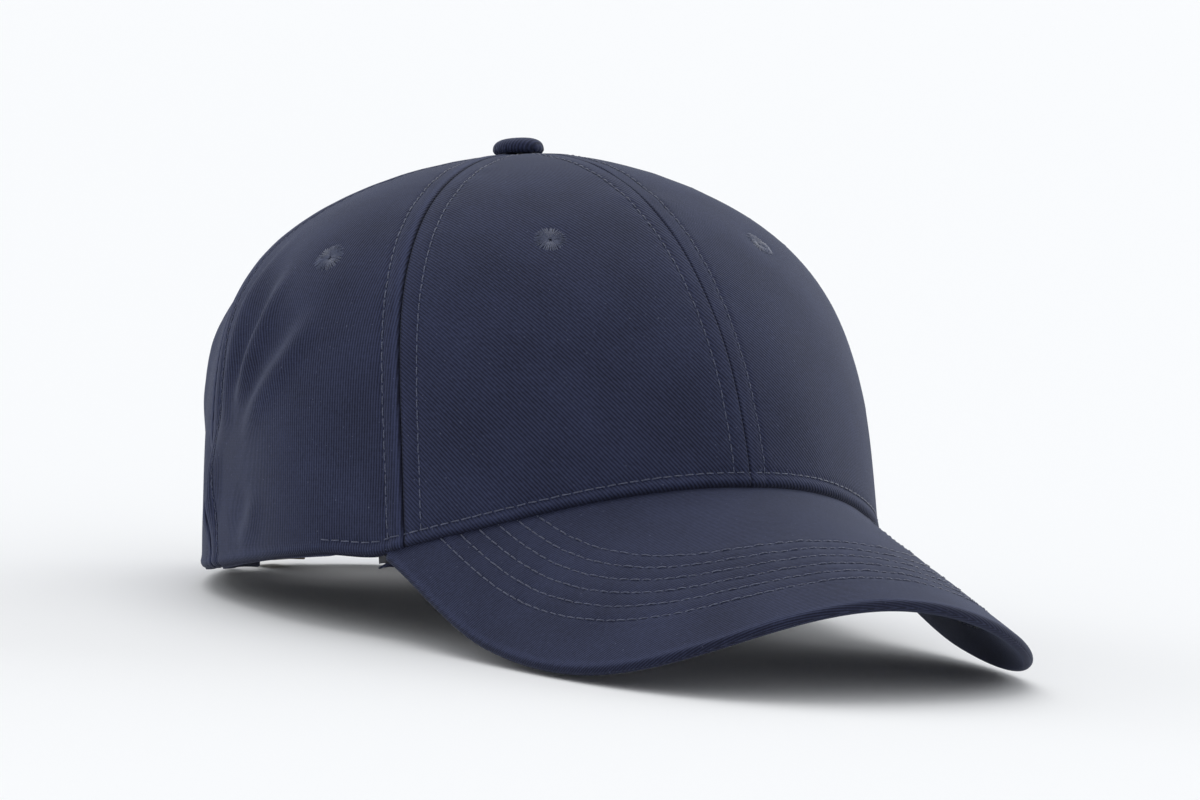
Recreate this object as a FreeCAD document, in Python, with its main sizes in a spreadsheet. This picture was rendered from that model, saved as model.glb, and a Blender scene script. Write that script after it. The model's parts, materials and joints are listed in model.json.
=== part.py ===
"""Six-panel baseball cap with a rolled visor, a covered button and a buckled strap at the back.

The cap is drawn in its wearing frame: X points to the wearer's left, Y to the back of the head and
Z up, with the origin on the crown's centre line a little below the rim. A resting placement then
tips every sub-part nose up, so that the cap stands on the visor's two corners and the back of its rim.
"""
import FreeCAD, Part
import functools
import math
import os
import re
import Sketcher
from FreeCAD import Placement, Rotation, Vector

DIMENSIONS = {
    # crown shape
    "crown_half_width": 87.3,
    "crown_front_reach": 96.2,
    "crown_back_reach": 109.7,
    "crown_rise": 117.6,
    "crown_apex_back": 8.6,
    "crown_plan_power": 1.85,
    "rim_side_rise": 6.0,
    "rim_back_rise": 10.0,
    "apex_hole_radius": 1.8,
    # cloth layers, each at a depth under the crown's outer face
    "panel_thickness": 1.0,
    "buckram_depth": 1.1,
    "buckram_thickness": 0.6,
    "tape_width": 8.0,
    "tape_thickness": 0.5,
    "tape_front_depth": 1.8,
    "tape_back_depth": 1.1,
    "sweatband_depth": 2.7,
    "sweatband_thickness": 1.2,
    "sweatband_height": 34.0,
    "sweatband_back_tuck": 5.2,
    "sweatband_end_angle": 156.0,
    # seams and eyelets, as angles round the crown from the front centre
    "front_seam_angle": 60.0,
    "back_seam_angle": 116.0,
    "eyelet_front_angle": 29.9,
    "eyelet_side_angle": 79.0,
    "eyelet_back_angle": 148.0,
    "eyelet_front_share": 0.752,
    "eyelet_rear_share": 0.735,
    "eyelet_radius": 4.75,
    "eyelet_hole_radius": 1.1,
    "eyelet_barrel_radius": 1.8,
    "eyelet_punch_radius": 1.95,
    "eyelet_lift": 0.12,
    "eyelet_flange": 0.5,
    "eyelet_front_grip": 2.0,
    "eyelet_rear_grip": 1.3,
    # button on the apex
    "button_radius": 7.0,
    "button_half_height": 3.3,
    "button_middle": 1.7,
    "button_cloth": 0.7,
    "button_shell": 0.6,
    "button_foot": 0.3,
    "prong_radius": 1.2,
    "prong_top": 3.5,
    "washer_radius": 6.5,
    "washer_top": -1.5,
    "washer_low": -2.1,
    # visor: a flat D-shaped sheet rolled about an axis that slopes down to the front
    "visor_roll_radius": 96.2,
    "visor_slope": 28.26,
    "visor_root_rise": 18.4,
    "visor_half_width": 95.75,
    "visor_widest_back": 44.5,
    "visor_reach": 114.0,
    "visor_corner_power": 3.19,
    "visor_corner_lift": 4.2,
    "visor_lift_start": 8.0,
    "visor_lift_length": 52.0,
    "visor_cloth": 0.7,
    "visor_board": 1.8,
    "visor_layer_gap": 0.05,
    "visor_board_inset": 0.8,
    "visor_tuck": 2.2,
    "visor_root_angle": 66.0,
    "visor_end_length": 5.0,
    "visor_seam_gap": 0.5,
    # arch at the back
    "arch_half_width": 42.0,
    "arch_centre_rise": 20.0,
    "binding_width": 7.0,
    "binding_thickness": 0.5,
    # strap, tab and buckle, drawn round the strap's own centre
    "strap_centre_back": 35.4,
    "strap_outer_radius": 69.2,
    "strap_thickness": 1.2,
    "strap_width": 19.0,
    "strap_middle_rise": 22.9,
    "strap_sewn_angle": 50.0,
    "strap_tail_angle": 45.0,
    "tab_outer_radius": 67.0,
    "tab_thickness": 0.9,
    "tab_end_angle": 50.0,
    "tab_start_angle": 26.3,
    "tab_eye_radius": 1.65,
    "tab_eye_hole_radius": 0.75,
    "buckle_angle": 18.5,
    "buckle_wall": 1.0,
    "buckle_inner_half": 9.9,
    "plate_low": 66.3,
    "plate_thickness": 1.0,
    "plate_half": 7.0,
    "ear_front": 1.5,
    "ear_back": 10.2,
    "ear_low": 64.5,
    "ear_top": 73.3,
    "bar_back": 9.0,
    "bar_centre": 65.4,
    "bar_radius": 0.7,
    "pin_back": 3.5,
    "pin_centre": 71.4,
    "pin_radius": 0.8,
    "lever_bore_radius": 0.86,
    "lever_barrel_radius": 1.9,
    "lever_barrel_half": 9.6,
    "lever_plate_low": 70.0,
    "lever_plate_thickness": 1.2,
    "lever_plate_half": 9.0,
    "lever_reach": 11.0,
    # blank size label inside the sweatband
    "label_start_angle": 100.0,
    "label_end_angle": 113.0,
    "label_low": 12.0,
    "label_height": 18.0,
    "label_thickness": 0.3,
    # resting attitude
    "resting_tip": 11.29,
}
SIDES = {"left": 1, "right": -1}

document = FreeCAD.newDocument("BaseballCap")
sheet = document.addObject("Spreadsheet::Sheet", "Dimensions")
for row, (alias, number) in enumerate(DIMENSIONS.items(), start=1):
    sheet.set(f"A{row}", alias)
    sheet.set(f"B{row}", str(number))
    sheet.setAlias(f"B{row}", alias)
document.recompute()

subparts = []


def size(alias):
    """A driving dimension, read from the sheet."""
    return float(sheet.get(alias))


def linked(expression):
    """The expression with each alias in it pointed at the sheet."""
    def point(word):
        return f"Dimensions.{word[0]}" if word[0] in DIMENSIONS else word[0]
    return re.sub(r"[a-z_]+", point, expression)


def keep(item, node, local=Placement()):
    """Record an object as a sub-part, with its place in the wearing frame."""
    item.Label = node
    subparts.append((item, local))
    return item


# ---- crown surface -------------------------------------------------------------------------------
# Each wall profile is reach * (1 - rise^squareness)^(1/roundness), leaned and flared a little.
SIDE_WALL = ("crown_half_width", 1.6, 4.4, -0.1, 0.03)
FRONT_WALL = ("crown_front_reach", 2.2, 2.33, 0.0, 0.0)
BACK_WALL = ("crown_back_reach", 2.2, 3.6, 0.095, 0.03)
FLARE_SHARE = 0.25
STEP = 1e-3


def wall(profile, share):
    """Distance from the crown's centre line to one of its walls at a share of the crown's rise."""
    reach, roundness, squareness, lean, flare = profile
    share = max(share, 0.0)
    dome = max(1 - share ** squareness, 0) ** (1 / roundness)
    return size(reach) * dome * (1 - lean * share + flare * math.exp(-(share / FLARE_SHARE) ** 2))


def plan_radius(angle, share):
    """Radius of the crown's plan outline, angle degrees round from the front."""
    power = size("crown_plan_power")
    across = abs(math.sin(math.radians(angle))) / wall(SIDE_WALL, share)
    along = abs(math.cos(math.radians(angle)))
    along /= wall(FRONT_WALL if abs(angle) < 90 else BACK_WALL, share)
    return (across ** power + along ** power) ** (-1 / power)


def crown_skin(angle, share):
    """Point on the crown's outer face."""
    radius = plan_radius(angle, share)
    turn = math.radians(angle)
    back = size("crown_apex_back") * max(share, 0.0) ** 2
    return Vector(radius * math.sin(turn), back - radius * math.cos(turn), share * size("crown_rise"))


def crown_normal(angle, share):
    """Outward normal of the crown."""
    around = crown_skin(angle + 1, share) - crown_skin(angle - 1, share)
    high = min(share + STEP, 1 - STEP / 1000)
    up = crown_skin(angle, high) - crown_skin(angle, high - 2 * STEP if share < 0.9 else share * 0.9995)
    return around.cross(up).normalize()


def crown_point(angle, share, depth=0.0):
    """Point at a depth under the crown's outer face."""
    return crown_skin(angle, share) - crown_normal(angle, share) * depth


@functools.lru_cache(maxsize=None)
def share_at_radius(angle, radius):
    """Share of the rise at which the crown's plan radius has shrunk to a radius near the apex."""
    low, high = 0.5, 1.0 - 1e-9
    for _ in range(50):
        middle = (low + high) / 2
        low, high = (middle, high) if plan_radius(angle, middle) > radius else (low, middle)
    return low


def smooth(value):
    """Smooth step from 0 to 1."""
    value = min(max(value, 0.0), 1.0)
    return value * value * (3 - 2 * value)


# ---- visor surface -------------------------------------------------------------------------------
def visor_lift(across, out):
    """How far the visor stands off its plain roll towards the two corners at its root."""
    share = smooth((size("visor_lift_start") - out) / size("visor_lift_length"))
    return size("visor_corner_lift") * share * (across / size("visor_half_width")) ** 2


def visor_point(across, out, depth=0.0):
    """Point of the rolled visor: across and out are measured on the flat sheet."""
    roll = size("visor_roll_radius")
    slope = math.radians(size("visor_slope"))
    turn = across / roll
    drop = (roll - depth) * math.cos(turn) - roll + visor_lift(across, out)
    forward = size("crown_front_reach") + out * math.cos(slope) + drop * math.sin(slope)
    rise = size("visor_root_rise") - out * math.sin(slope) + drop * math.cos(slope)
    return Vector((roll - depth) * math.sin(turn), -forward, rise)


def visor_flat(spot, depth=0.0):
    """Flat-sheet coordinates of a point on the visor's rolled face."""
    slope = math.radians(size("visor_slope"))
    roll = size("visor_roll_radius")
    across = roll * math.asin(max(-1, min(1, spot.x / (roll - depth))))
    forward = -spot.y - size("crown_front_reach")
    return across, forward * math.cos(slope) - (spot.z - size("visor_root_rise")) * math.sin(slope)


def visor_rise(spot, depth=0.0):
    """Height of the visor's rolled face over a plan position near the face."""
    roll = size("visor_roll_radius")
    slope = math.radians(size("visor_slope"))
    drop = math.sqrt(max((roll - depth) ** 2 - spot.x ** 2, 0)) - roll + visor_lift(*visor_flat(spot, depth))
    lean = (spot.y + size("crown_front_reach")) * math.sin(slope)
    return size("visor_root_rise") + (drop + lean) / math.cos(slope)


def visor_outline(turn, inset=0.0):
    """Flat-sheet point of the visor's outer edge."""
    power = 2 / size("visor_corner_power")
    across = (size("visor_half_width") - inset) * abs(math.cos(turn)) ** power
    out = (size("visor_reach") - inset) * math.sin(turn) ** power - size("visor_widest_back")
    return math.copysign(across, math.cos(turn)), out


@functools.lru_cache(maxsize=None)
def seam_share(angle, depth, lift, layer=0.0):
    """Share of the rise at which the crown, at a depth, stands a lift above the visor's face."""
    share = 0.1
    for _ in range(16):
        spot = crown_point(angle, share, depth)
        share += 0.7 * (visor_rise(spot, layer) + lift - spot.z) / size("crown_rise")
    return share


@functools.lru_cache(maxsize=None)
def rim_share(angle, depth=0.0, lift=0.0):
    """Share of the rise of the crown's lower edge: on the visor in front, and the rim behind it."""
    root = size("visor_root_angle")
    bearing = abs(angle)
    raised = smooth((bearing - size("back_seam_angle")) / 44)
    rim = size("rim_side_rise") + (size("rim_back_rise") - size("rim_side_rise")) * raised + lift
    if bearing > root + 12:
        return rim / size("crown_rise")
    seam = seam_share(math.copysign(min(bearing, root), angle), depth, size("visor_seam_gap") + lift)
    blend = smooth((bearing - root) / 12)
    return seam * (1 - blend) + blend * rim / size("crown_rise")


# ---- cloth solids --------------------------------------------------------------------------------
def steps(start, end, count):
    """Evenly spaced numbers from start to end."""
    return [start + (end - start) * index / (count - 1) for index in range(count)]


def cloth(node, point, columns, rows, depth, thickness):
    """A closed solid between two smooth skins; point(column, row, depth) gives each skin."""
    faces = []
    for level in (depth, depth + thickness):
        skin = Part.BSplineSurface()
        skin.interpolate([[point(column, row, level) for row in rows] for column in columns])
        faces.append(skin.toShape())
    faces += [Part.makeRuledSurface(outer, inner) for outer, inner in zip(faces[0].Edges, faces[1].Edges)]
    wrap = Part.makeCompound(faces)
    wrap.sewShape()
    solid = Part.makeSolid(wrap.Shells[0])
    if solid.Volume < 0:
        solid.reverse()
    item = document.addObject("Part::Feature", node)
    item.Shape = solid
    return item


def climb(low, top, row):
    """Share of the rise at a row, with rows closer together towards the flat top of the dome."""
    low_step = 1 - math.sqrt(1 - low)
    top_step = 1 - math.sqrt(1 - top)
    return 1 - (1 - low_step - (top_step - low_step) * row) ** 2


def gore(start, end, low_lift, top_radius):
    """Point function of a crown panel between two angles."""
    def point(column, row, depth):
        angle = start + (end - start) * column
        low = rim_share(angle, depth, low_lift)
        return crown_point(angle, climb(low, share_at_radius(angle, top_radius), row), depth)
    return point


def strip(angle, low, top_radius):
    """Point function of a tape of constant width laid up the crown along a seam."""
    def point(column, row, depth):
        share = climb(low, share_at_radius(angle, top_radius), row)
        swing = math.degrees(column * size("tape_width") / plan_radius(angle, share))
        return crown_point(angle + swing, share, depth)
    return point


# ---- cutting tools -------------------------------------------------------------------------------
def bind(item, **expressions):
    """Bind an object's properties to the sheet."""
    for name, expression in expressions.items():
        item.setExpression(name, linked(expression))
    return item


def box(name, length, width, height, corner):
    """A box whose sides and lower corner are bound to the sheet."""
    item = document.addObject("Part::Box", name)
    bind(item, Length=length, Width=width, Height=height)
    for axis, expression in zip("xyz", corner):
        item.setExpression(f"Placement.Base.{axis}", linked(expression))
    return item


def rod(name, radius, height, base, turn=None):
    """A cylinder whose radius, height and foot are bound to the sheet; upright unless turned."""
    item = document.addObject("Part::Cylinder", name)
    bind(item, Radius=radius, Height=height)
    if turn:
        item.Placement = Placement(Vector(), turn)
    for axis, expression in zip("xyz", base):
        item.setExpression(f"Placement.Base.{axis}", linked(expression))
    return item


def cut(name, base, tool):
    """One solid less another."""
    item = document.addObject("Part::Cut", name)
    item.Base = base
    item.Tool = tool
    return item


def fuse(name, *items):
    """Several solids joined into one."""
    item = document.addObject("Part::MultiFuse", name)
    item.Shapes = list(items)
    return item


ALONG_Y = Rotation(Vector(1, 0, 0), -90)
arch_round = rod("arch_round", "arch_half_width", "200", ("0", "0", "arch_centre_rise"), ALONG_Y)
arch_legs = box("arch_legs", "2 * arch_half_width", "200", "60",
                ("-arch_half_width", "0", "arch_centre_rise - 60"))
arch = fuse("arch", arch_round, arch_legs)


def eyelet_place(angle, share):
    """Placement on the crown with its Z axis along the outward normal."""
    return Placement(crown_skin(angle, share), Rotation(Vector(0, 0, 1), crown_normal(angle, share)))


def punch(angle, share, name):
    """Tool for the hole under an eyelet."""
    item = document.addObject("Part::Cylinder", f"punch_{name}")
    bind(item, Radius="eyelet_punch_radius", Height="10")
    place = eyelet_place(angle, share)
    item.Placement = place.multiply(Placement(Vector(0, 0, -5), Rotation()))
    return item


# ---- sketches ------------------------------------------------------------------------------------
def new_sketch(body, role):
    """An empty sketch on one of a body's own origin planes."""
    sketch = body.newObject("Sketcher::SketchObject", f"{body.Name}_outline")
    plane = next(item for item in body.Origin.OriginFeatures if item.Role == role)
    sketch.AttachmentSupport = [(plane, "")]
    sketch.MapMode = "FlatFace"
    return sketch


def drive(sketch, constraint, name, expression):
    """Add a dimension to a sketch and bind it to the sheet."""
    sketch.renameConstraint(sketch.addConstraint(constraint), name)
    sketch.setExpression(f"Constraints.{name}", linked(expression))


def polygon(body, role, corners):
    """A closed outline whose corners' two coordinates are each bound to the sheet."""
    sketch = new_sketch(body, role)
    count = len(corners)
    ring = [Vector(math.cos(2 * math.pi * turn / count), math.sin(2 * math.pi * turn / count), 0)
            for turn in range(count)]
    for index in range(count):
        sketch.addGeometry(Part.LineSegment(ring[index], ring[(index + 1) % count]), False)
    for index, (across, up) in enumerate(corners):
        sketch.addConstraint(Sketcher.Constraint("Coincident", index, 2, (index + 1) % count, 1))
        drive(sketch, Sketcher.Constraint("DistanceX", -1, 1, index, 1, 1.0), f"across_{index}", across)
        drive(sketch, Sketcher.Constraint("DistanceY", -1, 1, index, 1, 1.0), f"up_{index}", up)
    return sketch


def turned(node, corners):
    """A body turned about its Z axis from an outline in its XZ plane."""
    body = document.addObject("PartDesign::Body", node)
    sketch = polygon(body, "XZ_Plane", corners)
    turn = body.newObject("PartDesign::Revolution", f"{node}_turn")
    turn.Profile = sketch
    turn.ReferenceAxis = (sketch, ["V_Axis"])
    turn.Angle = 360
    return body


def curved_band(node, outer, thickness, start, end):
    """A webbing band bent round the Z axis, between two angles measured from +Y towards +X."""
    body = document.addObject("PartDesign::Body", node)
    sketch = new_sketch(body, "XY_Plane")
    first, last = math.radians(90 - end[1]), math.radians(90 - start[1])
    outside, inside = size(outer), size(outer) - size(thickness)
    for radius in (outside, inside):
        circle = Part.Circle(Vector(), Vector(0, 0, 1), radius)
        sketch.addGeometry(Part.ArcOfCircle(circle, first, last), False)
        arc = sketch.GeometryCount - 1
        sketch.addConstraint(Sketcher.Constraint("Coincident", arc, 3, -1, 1))
    drive(sketch, Sketcher.Constraint("Radius", 0, outside), "outside", outer)
    drive(sketch, Sketcher.Constraint("Radius", 1, inside), "inside", f"{outer} - {thickness}")
    for corner, turn, expression in ((1, first, f"90 - {end[0]}"), (2, last, f"90 - {start[0]}")):
        ray = Vector(math.cos(turn), math.sin(turn), 0)
        line = sketch.addGeometry(Part.LineSegment(ray * inside, ray * outside), False)
        sketch.addConstraint(Sketcher.Constraint("Coincident", line, 1, 1, corner))
        sketch.addConstraint(Sketcher.Constraint("Coincident", line, 2, 0, corner))
        drive(sketch, Sketcher.Constraint("Angle", line, turn), f"ray_{corner}", expression)
    pad = body.newObject("PartDesign::Pad", f"{node}_pad")
    pad.Profile = sketch
    pad.SideType = "Symmetric"
    pad.setExpression("Length", linked("strap_width"))
    return body


# ---- crown panels --------------------------------------------------------------------------------
PANELS = {
    "front": (0.0, size("front_seam_angle")),
    "side": (size("front_seam_angle"), size("back_seam_angle")),
    "back": (size("back_seam_angle"), 180.0),
}
EYELETS = {
    "front": (size("eyelet_front_angle"), size("eyelet_front_share"), "eyelet_front_grip"),
    "side": (size("eyelet_side_angle"), size("eyelet_rear_share"), "eyelet_rear_grip"),
    "back": (size("eyelet_back_angle"), size("eyelet_rear_share"), "eyelet_rear_grip"),
}


def panel(place, side):
    """One crown panel, with its eyelet hole and, at the back, its half of the arch."""
    sign = SIDES[side]
    start, end = (sign * angle for angle in PANELS[place])
    node = f"panel_{place}_{side}"
    base = cloth(f"{node}_cloth", gore(start, end, 0.0, size("apex_hole_radius")),
                 steps(0, 1, 13), steps(0, 1, 19), 0.0, size("panel_thickness"))
    angle, share, _ = EYELETS[place]
    item = cut(f"{node}_punched", base, punch(sign * angle, share, node))
    if place == "back":
        item = cut(f"{node}_arched", item, arch)
    return keep(item, node)


def buckram(side):
    """The stiffening behind a front panel, short of every seam."""
    sign = SIDES[side]
    node = f"buckram_{side}"
    edge = 2.0
    base = cloth(f"{node}_sheet", gore(sign * edge, sign * (size("front_seam_angle") - edge), 2.5, 12.0),
                 steps(0, 1, 11), steps(0, 1, 15), size("buckram_depth"), size("buckram_thickness"))
    angle, share, _ = EYELETS["front"]
    return keep(cut(f"{node}_punched", base, punch(sign * angle, share, node)), node)


for side in SIDES:
    for place in PANELS:
        panel(place, side)
    buckram(side)


# ---- seam tapes ----------------------------------------------------------------------------------
def seam_tape(node, angle, low, depth):
    """A tape that covers a panel seam from the inside."""
    return keep(cloth(node, strip(angle, low, 9.0), (-0.5, 0.0, 0.5), steps(0, 1, 17), depth,
                      size("tape_thickness")), node)


seam_tape("seam_tape_front", 0.0, rim_share(0.0, 2.3, 2.5), size("tape_front_depth"))
for side, sign in SIDES.items():
    front_angle = sign * size("front_seam_angle")
    back_angle = sign * size("back_seam_angle")
    seam_tape(f"seam_tape_front_{side}", front_angle, rim_share(front_angle, 2.3, 4.0),
              size("tape_front_depth"))
    seam_tape(f"seam_tape_side_{side}", back_angle, rim_share(back_angle, 0.0, 1.0),
              size("tape_back_depth"))
arch_top = size("arch_centre_rise") + size("arch_half_width")
seam_tape("seam_tape_back", 180.0, (arch_top + size("binding_width") + 1) / size("crown_rise"),
          size("tape_back_depth"))


# ---- sweatband and size label --------------------------------------------------------------------
def band_depth(angle):
    """Depth of the sweatband under the crown: deeper at the back, where the strap runs outside it."""
    tuck = smooth((abs(angle) - size("back_seam_angle")) / 22)
    return size("sweatband_depth") + size("sweatband_back_tuck") * tuck


def band_point(column, row, depth):
    """Point of the sweatband: column is an angle and row a share of its height."""
    front = max(math.cos(math.radians(column)), 0)
    inner = band_depth(column) + depth
    low = rim_share(column, round(inner, 3), -2.0 * front)
    return crown_point(column, low + row * size("sweatband_height") / size("crown_rise"), inner)


band_end = size("sweatband_end_angle")
keep(cloth("sweatband", band_point, steps(-band_end, band_end, 61), steps(0, 1, 5), 0.0,
           size("sweatband_thickness")), "sweatband")


def label_point(column, row, depth):
    """Point of the blank size label, which lies on the sweatband's inner face."""
    share = (size("label_low") + row * size("label_height")) / size("crown_rise")
    return crown_point(column, share, band_depth(column) + size("sweatband_thickness") + 0.1 + depth)


keep(cloth("size_label", label_point, steps(size("label_start_angle"), size("label_end_angle"), 5),
           steps(0, 1, 3), 0.0, size("label_thickness")), "size_label")


# ---- arch binding --------------------------------------------------------------------------------
def arch_spot(along, out):
    """Across and up position on the arch's edge, a distance out from it; along runs left to right."""
    half, centre = size("arch_half_width"), size("arch_centre_rise")
    leg = centre - size("rim_back_rise") - 0.5
    run = along * (2 * leg + math.pi * half)
    if run < leg:
        return half + out, centre - leg + run
    if run > leg + math.pi * half:
        return -half - out, centre - (run - leg - math.pi * half)
    turn = (run - leg) / half
    return (half + out) * math.cos(turn), centre + (half + out) * math.sin(turn)


def binding_point(column, row, depth):
    """Point of the tape that binds the arch's edge, found on the crown under its position."""
    across, up = arch_spot(column, row * size("binding_width") + 0.2)
    share = up / size("crown_rise")
    angle = 180.0 - math.degrees(math.asin(across / size("crown_back_reach")))
    for _ in range(10):
        spot = crown_point(angle, share, depth)
        share += (up - spot.z) / size("crown_rise")
        radius = plan_radius(angle, share) * math.cos(math.radians(angle))
        angle += math.degrees((across - spot.x) / radius)
    return crown_point(angle, share, depth)


keep(cloth("arch_binding", binding_point, steps(0, 1, 41), (0.0, 0.5, 1.0), size("tape_back_depth"),
           size("binding_thickness")), "arch_binding")


# ---- visor ---------------------------------------------------------------------------------------
def even_turns(start, end, count):
    """Turns of the visor's outline that divide its length evenly."""
    fine = steps(start, end, 1201)
    spots = [Vector(*visor_outline(turn), 0) for turn in fine]
    run = [0.0]
    for before, after in zip(spots, spots[1:]):
        run.append(run[-1] + after.distanceToPoint(before))
    turns = []
    index = 0
    for wanted in steps(0, run[-1], count):
        while index < len(run) - 2 and run[index + 1] < wanted:
            index += 1
        share = (wanted - run[index]) / (run[index + 1] - run[index])
        turns.append(fine[index] + share * (fine[index + 1] - fine[index]))
    return turns


VISOR_COLUMNS = 49
root_angle = size("visor_root_angle")
root_spot = crown_point(root_angle, seam_share(root_angle, size("visor_tuck"), 0.0), size("visor_tuck"))
end_out = visor_flat(root_spot)[1] + size("visor_end_length")
end_share = max((end_out + size("visor_widest_back")) / size("visor_reach"), 0.0)
end_turn = math.asin(end_share ** (size("visor_corner_power") / 2))
outline_turns = even_turns(math.pi - end_turn, end_turn, VISOR_COLUMNS)


def visor_sheet(inset):
    """Point function of one layer of the visor, from the crown seam out to its edge."""
    def point(column, row, depth):
        angle = root_angle * (2 * column / (VISOR_COLUMNS - 1) - 1)
        share = seam_share(angle, size("visor_tuck"), 0.0, depth)
        inner = visor_flat(crown_point(angle, share, size("visor_tuck")), depth)
        outer = visor_outline(outline_turns[column], inset)
        across, out = (near + (far - near) * row for near, far in zip(inner, outer))
        return visor_point(across, out, depth)
    return point


def visor_layer(node, depth, thickness, inset):
    """One layer of the visor."""
    return keep(cloth(node, visor_sheet(inset), range(VISOR_COLUMNS), steps(0, 1, 11), depth, thickness), node)


board_depth = size("visor_cloth") + size("visor_layer_gap")
under_depth = board_depth + size("visor_board") + size("visor_layer_gap")
visor_layer("visor_top_cloth", 0.0, size("visor_cloth"), 0.0)
visor_layer("visor_board", board_depth, size("visor_board"), size("visor_board_inset"))
visor_layer("visor_under_cloth", under_depth, size("visor_cloth"), 0.0)


# ---- eyelets -------------------------------------------------------------------------------------
def eyelet(place, side):
    """A worked eyelet: an outer and an inner ring of thread joined through the cloth."""
    angle, share, grip = EYELETS[place]
    node = f"eyelet_{place}_{side}"
    body = turned(node, [
        ("eyelet_hole_radius", "eyelet_lift + eyelet_flange"),
        ("eyelet_radius", "eyelet_lift + eyelet_flange"),
        ("eyelet_radius", "eyelet_lift"),
        ("eyelet_barrel_radius", "eyelet_lift"),
        ("eyelet_barrel_radius", f"-{grip}"),
        ("eyelet_radius - 0.5", f"-{grip}"),
        ("eyelet_radius - 0.5", f"-{grip} - eyelet_flange"),
        ("eyelet_hole_radius", f"-{grip} - eyelet_flange"),
    ])
    return keep(body, node, eyelet_place(SIDES[side] * angle, share))


for side in SIDES:
    for place in EYELETS:
        eyelet(place, side)


# ---- button --------------------------------------------------------------------------------------
APEX = Placement(Vector(0, size("crown_apex_back"), size("crown_rise")), Rotation())


def dome(name, radius, half_height):
    """A flattened ball centred on the button."""
    item = document.addObject("Part::Ellipsoid", name)
    bind(item, Radius1=half_height, Radius2=radius, Radius3=radius)
    item.setExpression("Placement.Base.z", linked("button_middle"))
    return item


def button_layer(node, outer, inner):
    """A hollow dome that is open underneath."""
    hollow = cut(f"{node}_hollow", dome(f"{node}_outside", *outer), dome(f"{node}_inside", *inner))
    foot = box(f"{node}_foot", "4 * button_radius", "4 * button_radius", "10",
               ("-2 * button_radius", "-2 * button_radius", "button_foot - 10"))
    return keep(cut(f"{node}_open", hollow, foot), node, APEX)


cloth_inside = ("button_radius - button_cloth", "button_half_height - button_cloth")
shell_outside = ("button_radius - button_cloth - 0.05", "button_half_height - button_cloth - 0.05")
shell_inside = ("button_radius - button_cloth - button_shell", "button_half_height - button_cloth - button_shell")
button_layer("button_cover", ("button_radius", "button_half_height"), cloth_inside)
button_layer("button_shell", shell_outside, shell_inside)
keep(turned("button_prong", [
    ("0", "prong_top"),
    ("prong_radius", "prong_top"),
    ("prong_radius", "washer_top"),
    ("washer_radius", "washer_top"),
    ("washer_radius", "washer_low"),
    ("0", "washer_low"),
]), "button_prong", APEX)

# ---- strap, tab and buckle -----------------------------------------------------------------------
strap_middle = Vector(0, size("strap_centre_back"), size("strap_middle_rise"))
STRAP = Placement(strap_middle, Rotation())
BUCKLE = Placement(strap_middle, Rotation(Vector(0, 0, 1), size("buckle_angle")))

keep(curved_band("closure_strap", "strap_outer_radius", "strap_thickness",
                 ("-strap_tail_angle", -size("strap_tail_angle")),
                 ("strap_sewn_angle", size("strap_sewn_angle"))), "closure_strap", STRAP)

tab_band = curved_band("tab_band", "tab_outer_radius", "tab_thickness",
                       ("-tab_end_angle", -size("tab_end_angle")),
                       ("-tab_start_angle", -size("tab_start_angle")))
tab_eye = rod("tab_eye", "tab_eye_radius", "strap_width",
              ("-bar_back * cos(buckle_angle) - bar_centre * sin(buckle_angle)",
               "-bar_back * sin(buckle_angle) + bar_centre * cos(buckle_angle)", "-strap_width / 2"))
tab_hole = rod("tab_hole", "tab_eye_hole_radius", "2 * strap_width",
               ("-bar_back * cos(buckle_angle) - bar_centre * sin(buckle_angle)",
                "-bar_back * sin(buckle_angle) + bar_centre * cos(buckle_angle)", "-strap_width"))
keep(cut("tab_looped", fuse("tab_joined", tab_band, tab_eye), tab_hole), "strap_tab", STRAP)

buckle_outer = "2 * buckle_inner_half + 2 * buckle_wall"
buckle_foot = "-buckle_inner_half - buckle_wall"
frame_solids = [
    box("buckle_plate", "2 * plate_half", "plate_thickness", buckle_outer,
        ("-plate_half", "plate_low", buckle_foot)),
    rod("buckle_bar", "bar_radius", buckle_outer, ("-bar_back", "bar_centre", buckle_foot)),
]
for name, foot in (("upper", "buckle_inner_half"), ("lower", buckle_foot)):
    frame_solids.append(box(f"buckle_ear_{name}", "ear_front + ear_back", "ear_top - ear_low", "buckle_wall",
                            ("-ear_back", "ear_low", foot)))
pin_hole = rod("buckle_pin_hole", "pin_radius", buckle_outer, ("-pin_back", "pin_centre", buckle_foot))
keep(cut("buckle_drilled", fuse("buckle_joined", *frame_solids), pin_hole), "buckle_frame", BUCKLE)
HINGE = BUCKLE.multiply(Placement(Vector(-size("pin_back"), size("pin_centre"), 0), Rotation()))
pin_half = "buckle_inner_half + buckle_wall"
keep(turned("buckle_pin", [
    ("0", pin_half),
    ("pin_radius", pin_half),
    ("pin_radius", f"-{pin_half.replace(' + ', ' - ')}"),
    ("0", f"-{pin_half.replace(' + ', ' - ')}"),
]), "buckle_pin", HINGE)

lever_barrel = rod("lever_barrel", "lever_barrel_radius", "2 * lever_barrel_half",
                   ("-pin_back", "pin_centre", "-lever_barrel_half"))
lever_plate = box("lever_plate", "lever_reach + pin_back", "lever_plate_thickness", "2 * lever_plate_half",
                  ("-pin_back", "lever_plate_low", "-lever_plate_half"))
lever_bore = rod("lever_bore", "lever_bore_radius", "4 * lever_barrel_half",
                 ("-pin_back", "pin_centre", "-2 * lever_barrel_half"))
keep(cut("lever_bored", fuse("lever_joined", lever_barrel, lever_plate), lever_bore), "buckle_lever", BUCKLE)

# ---- resting placement and export ----------------------------------------------------------------
def place_all(stand):
    """Put every sub-part into the resting frame."""
    for item, local in subparts:
        item.Placement = stand.multiply(local)
    document.recompute()


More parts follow.
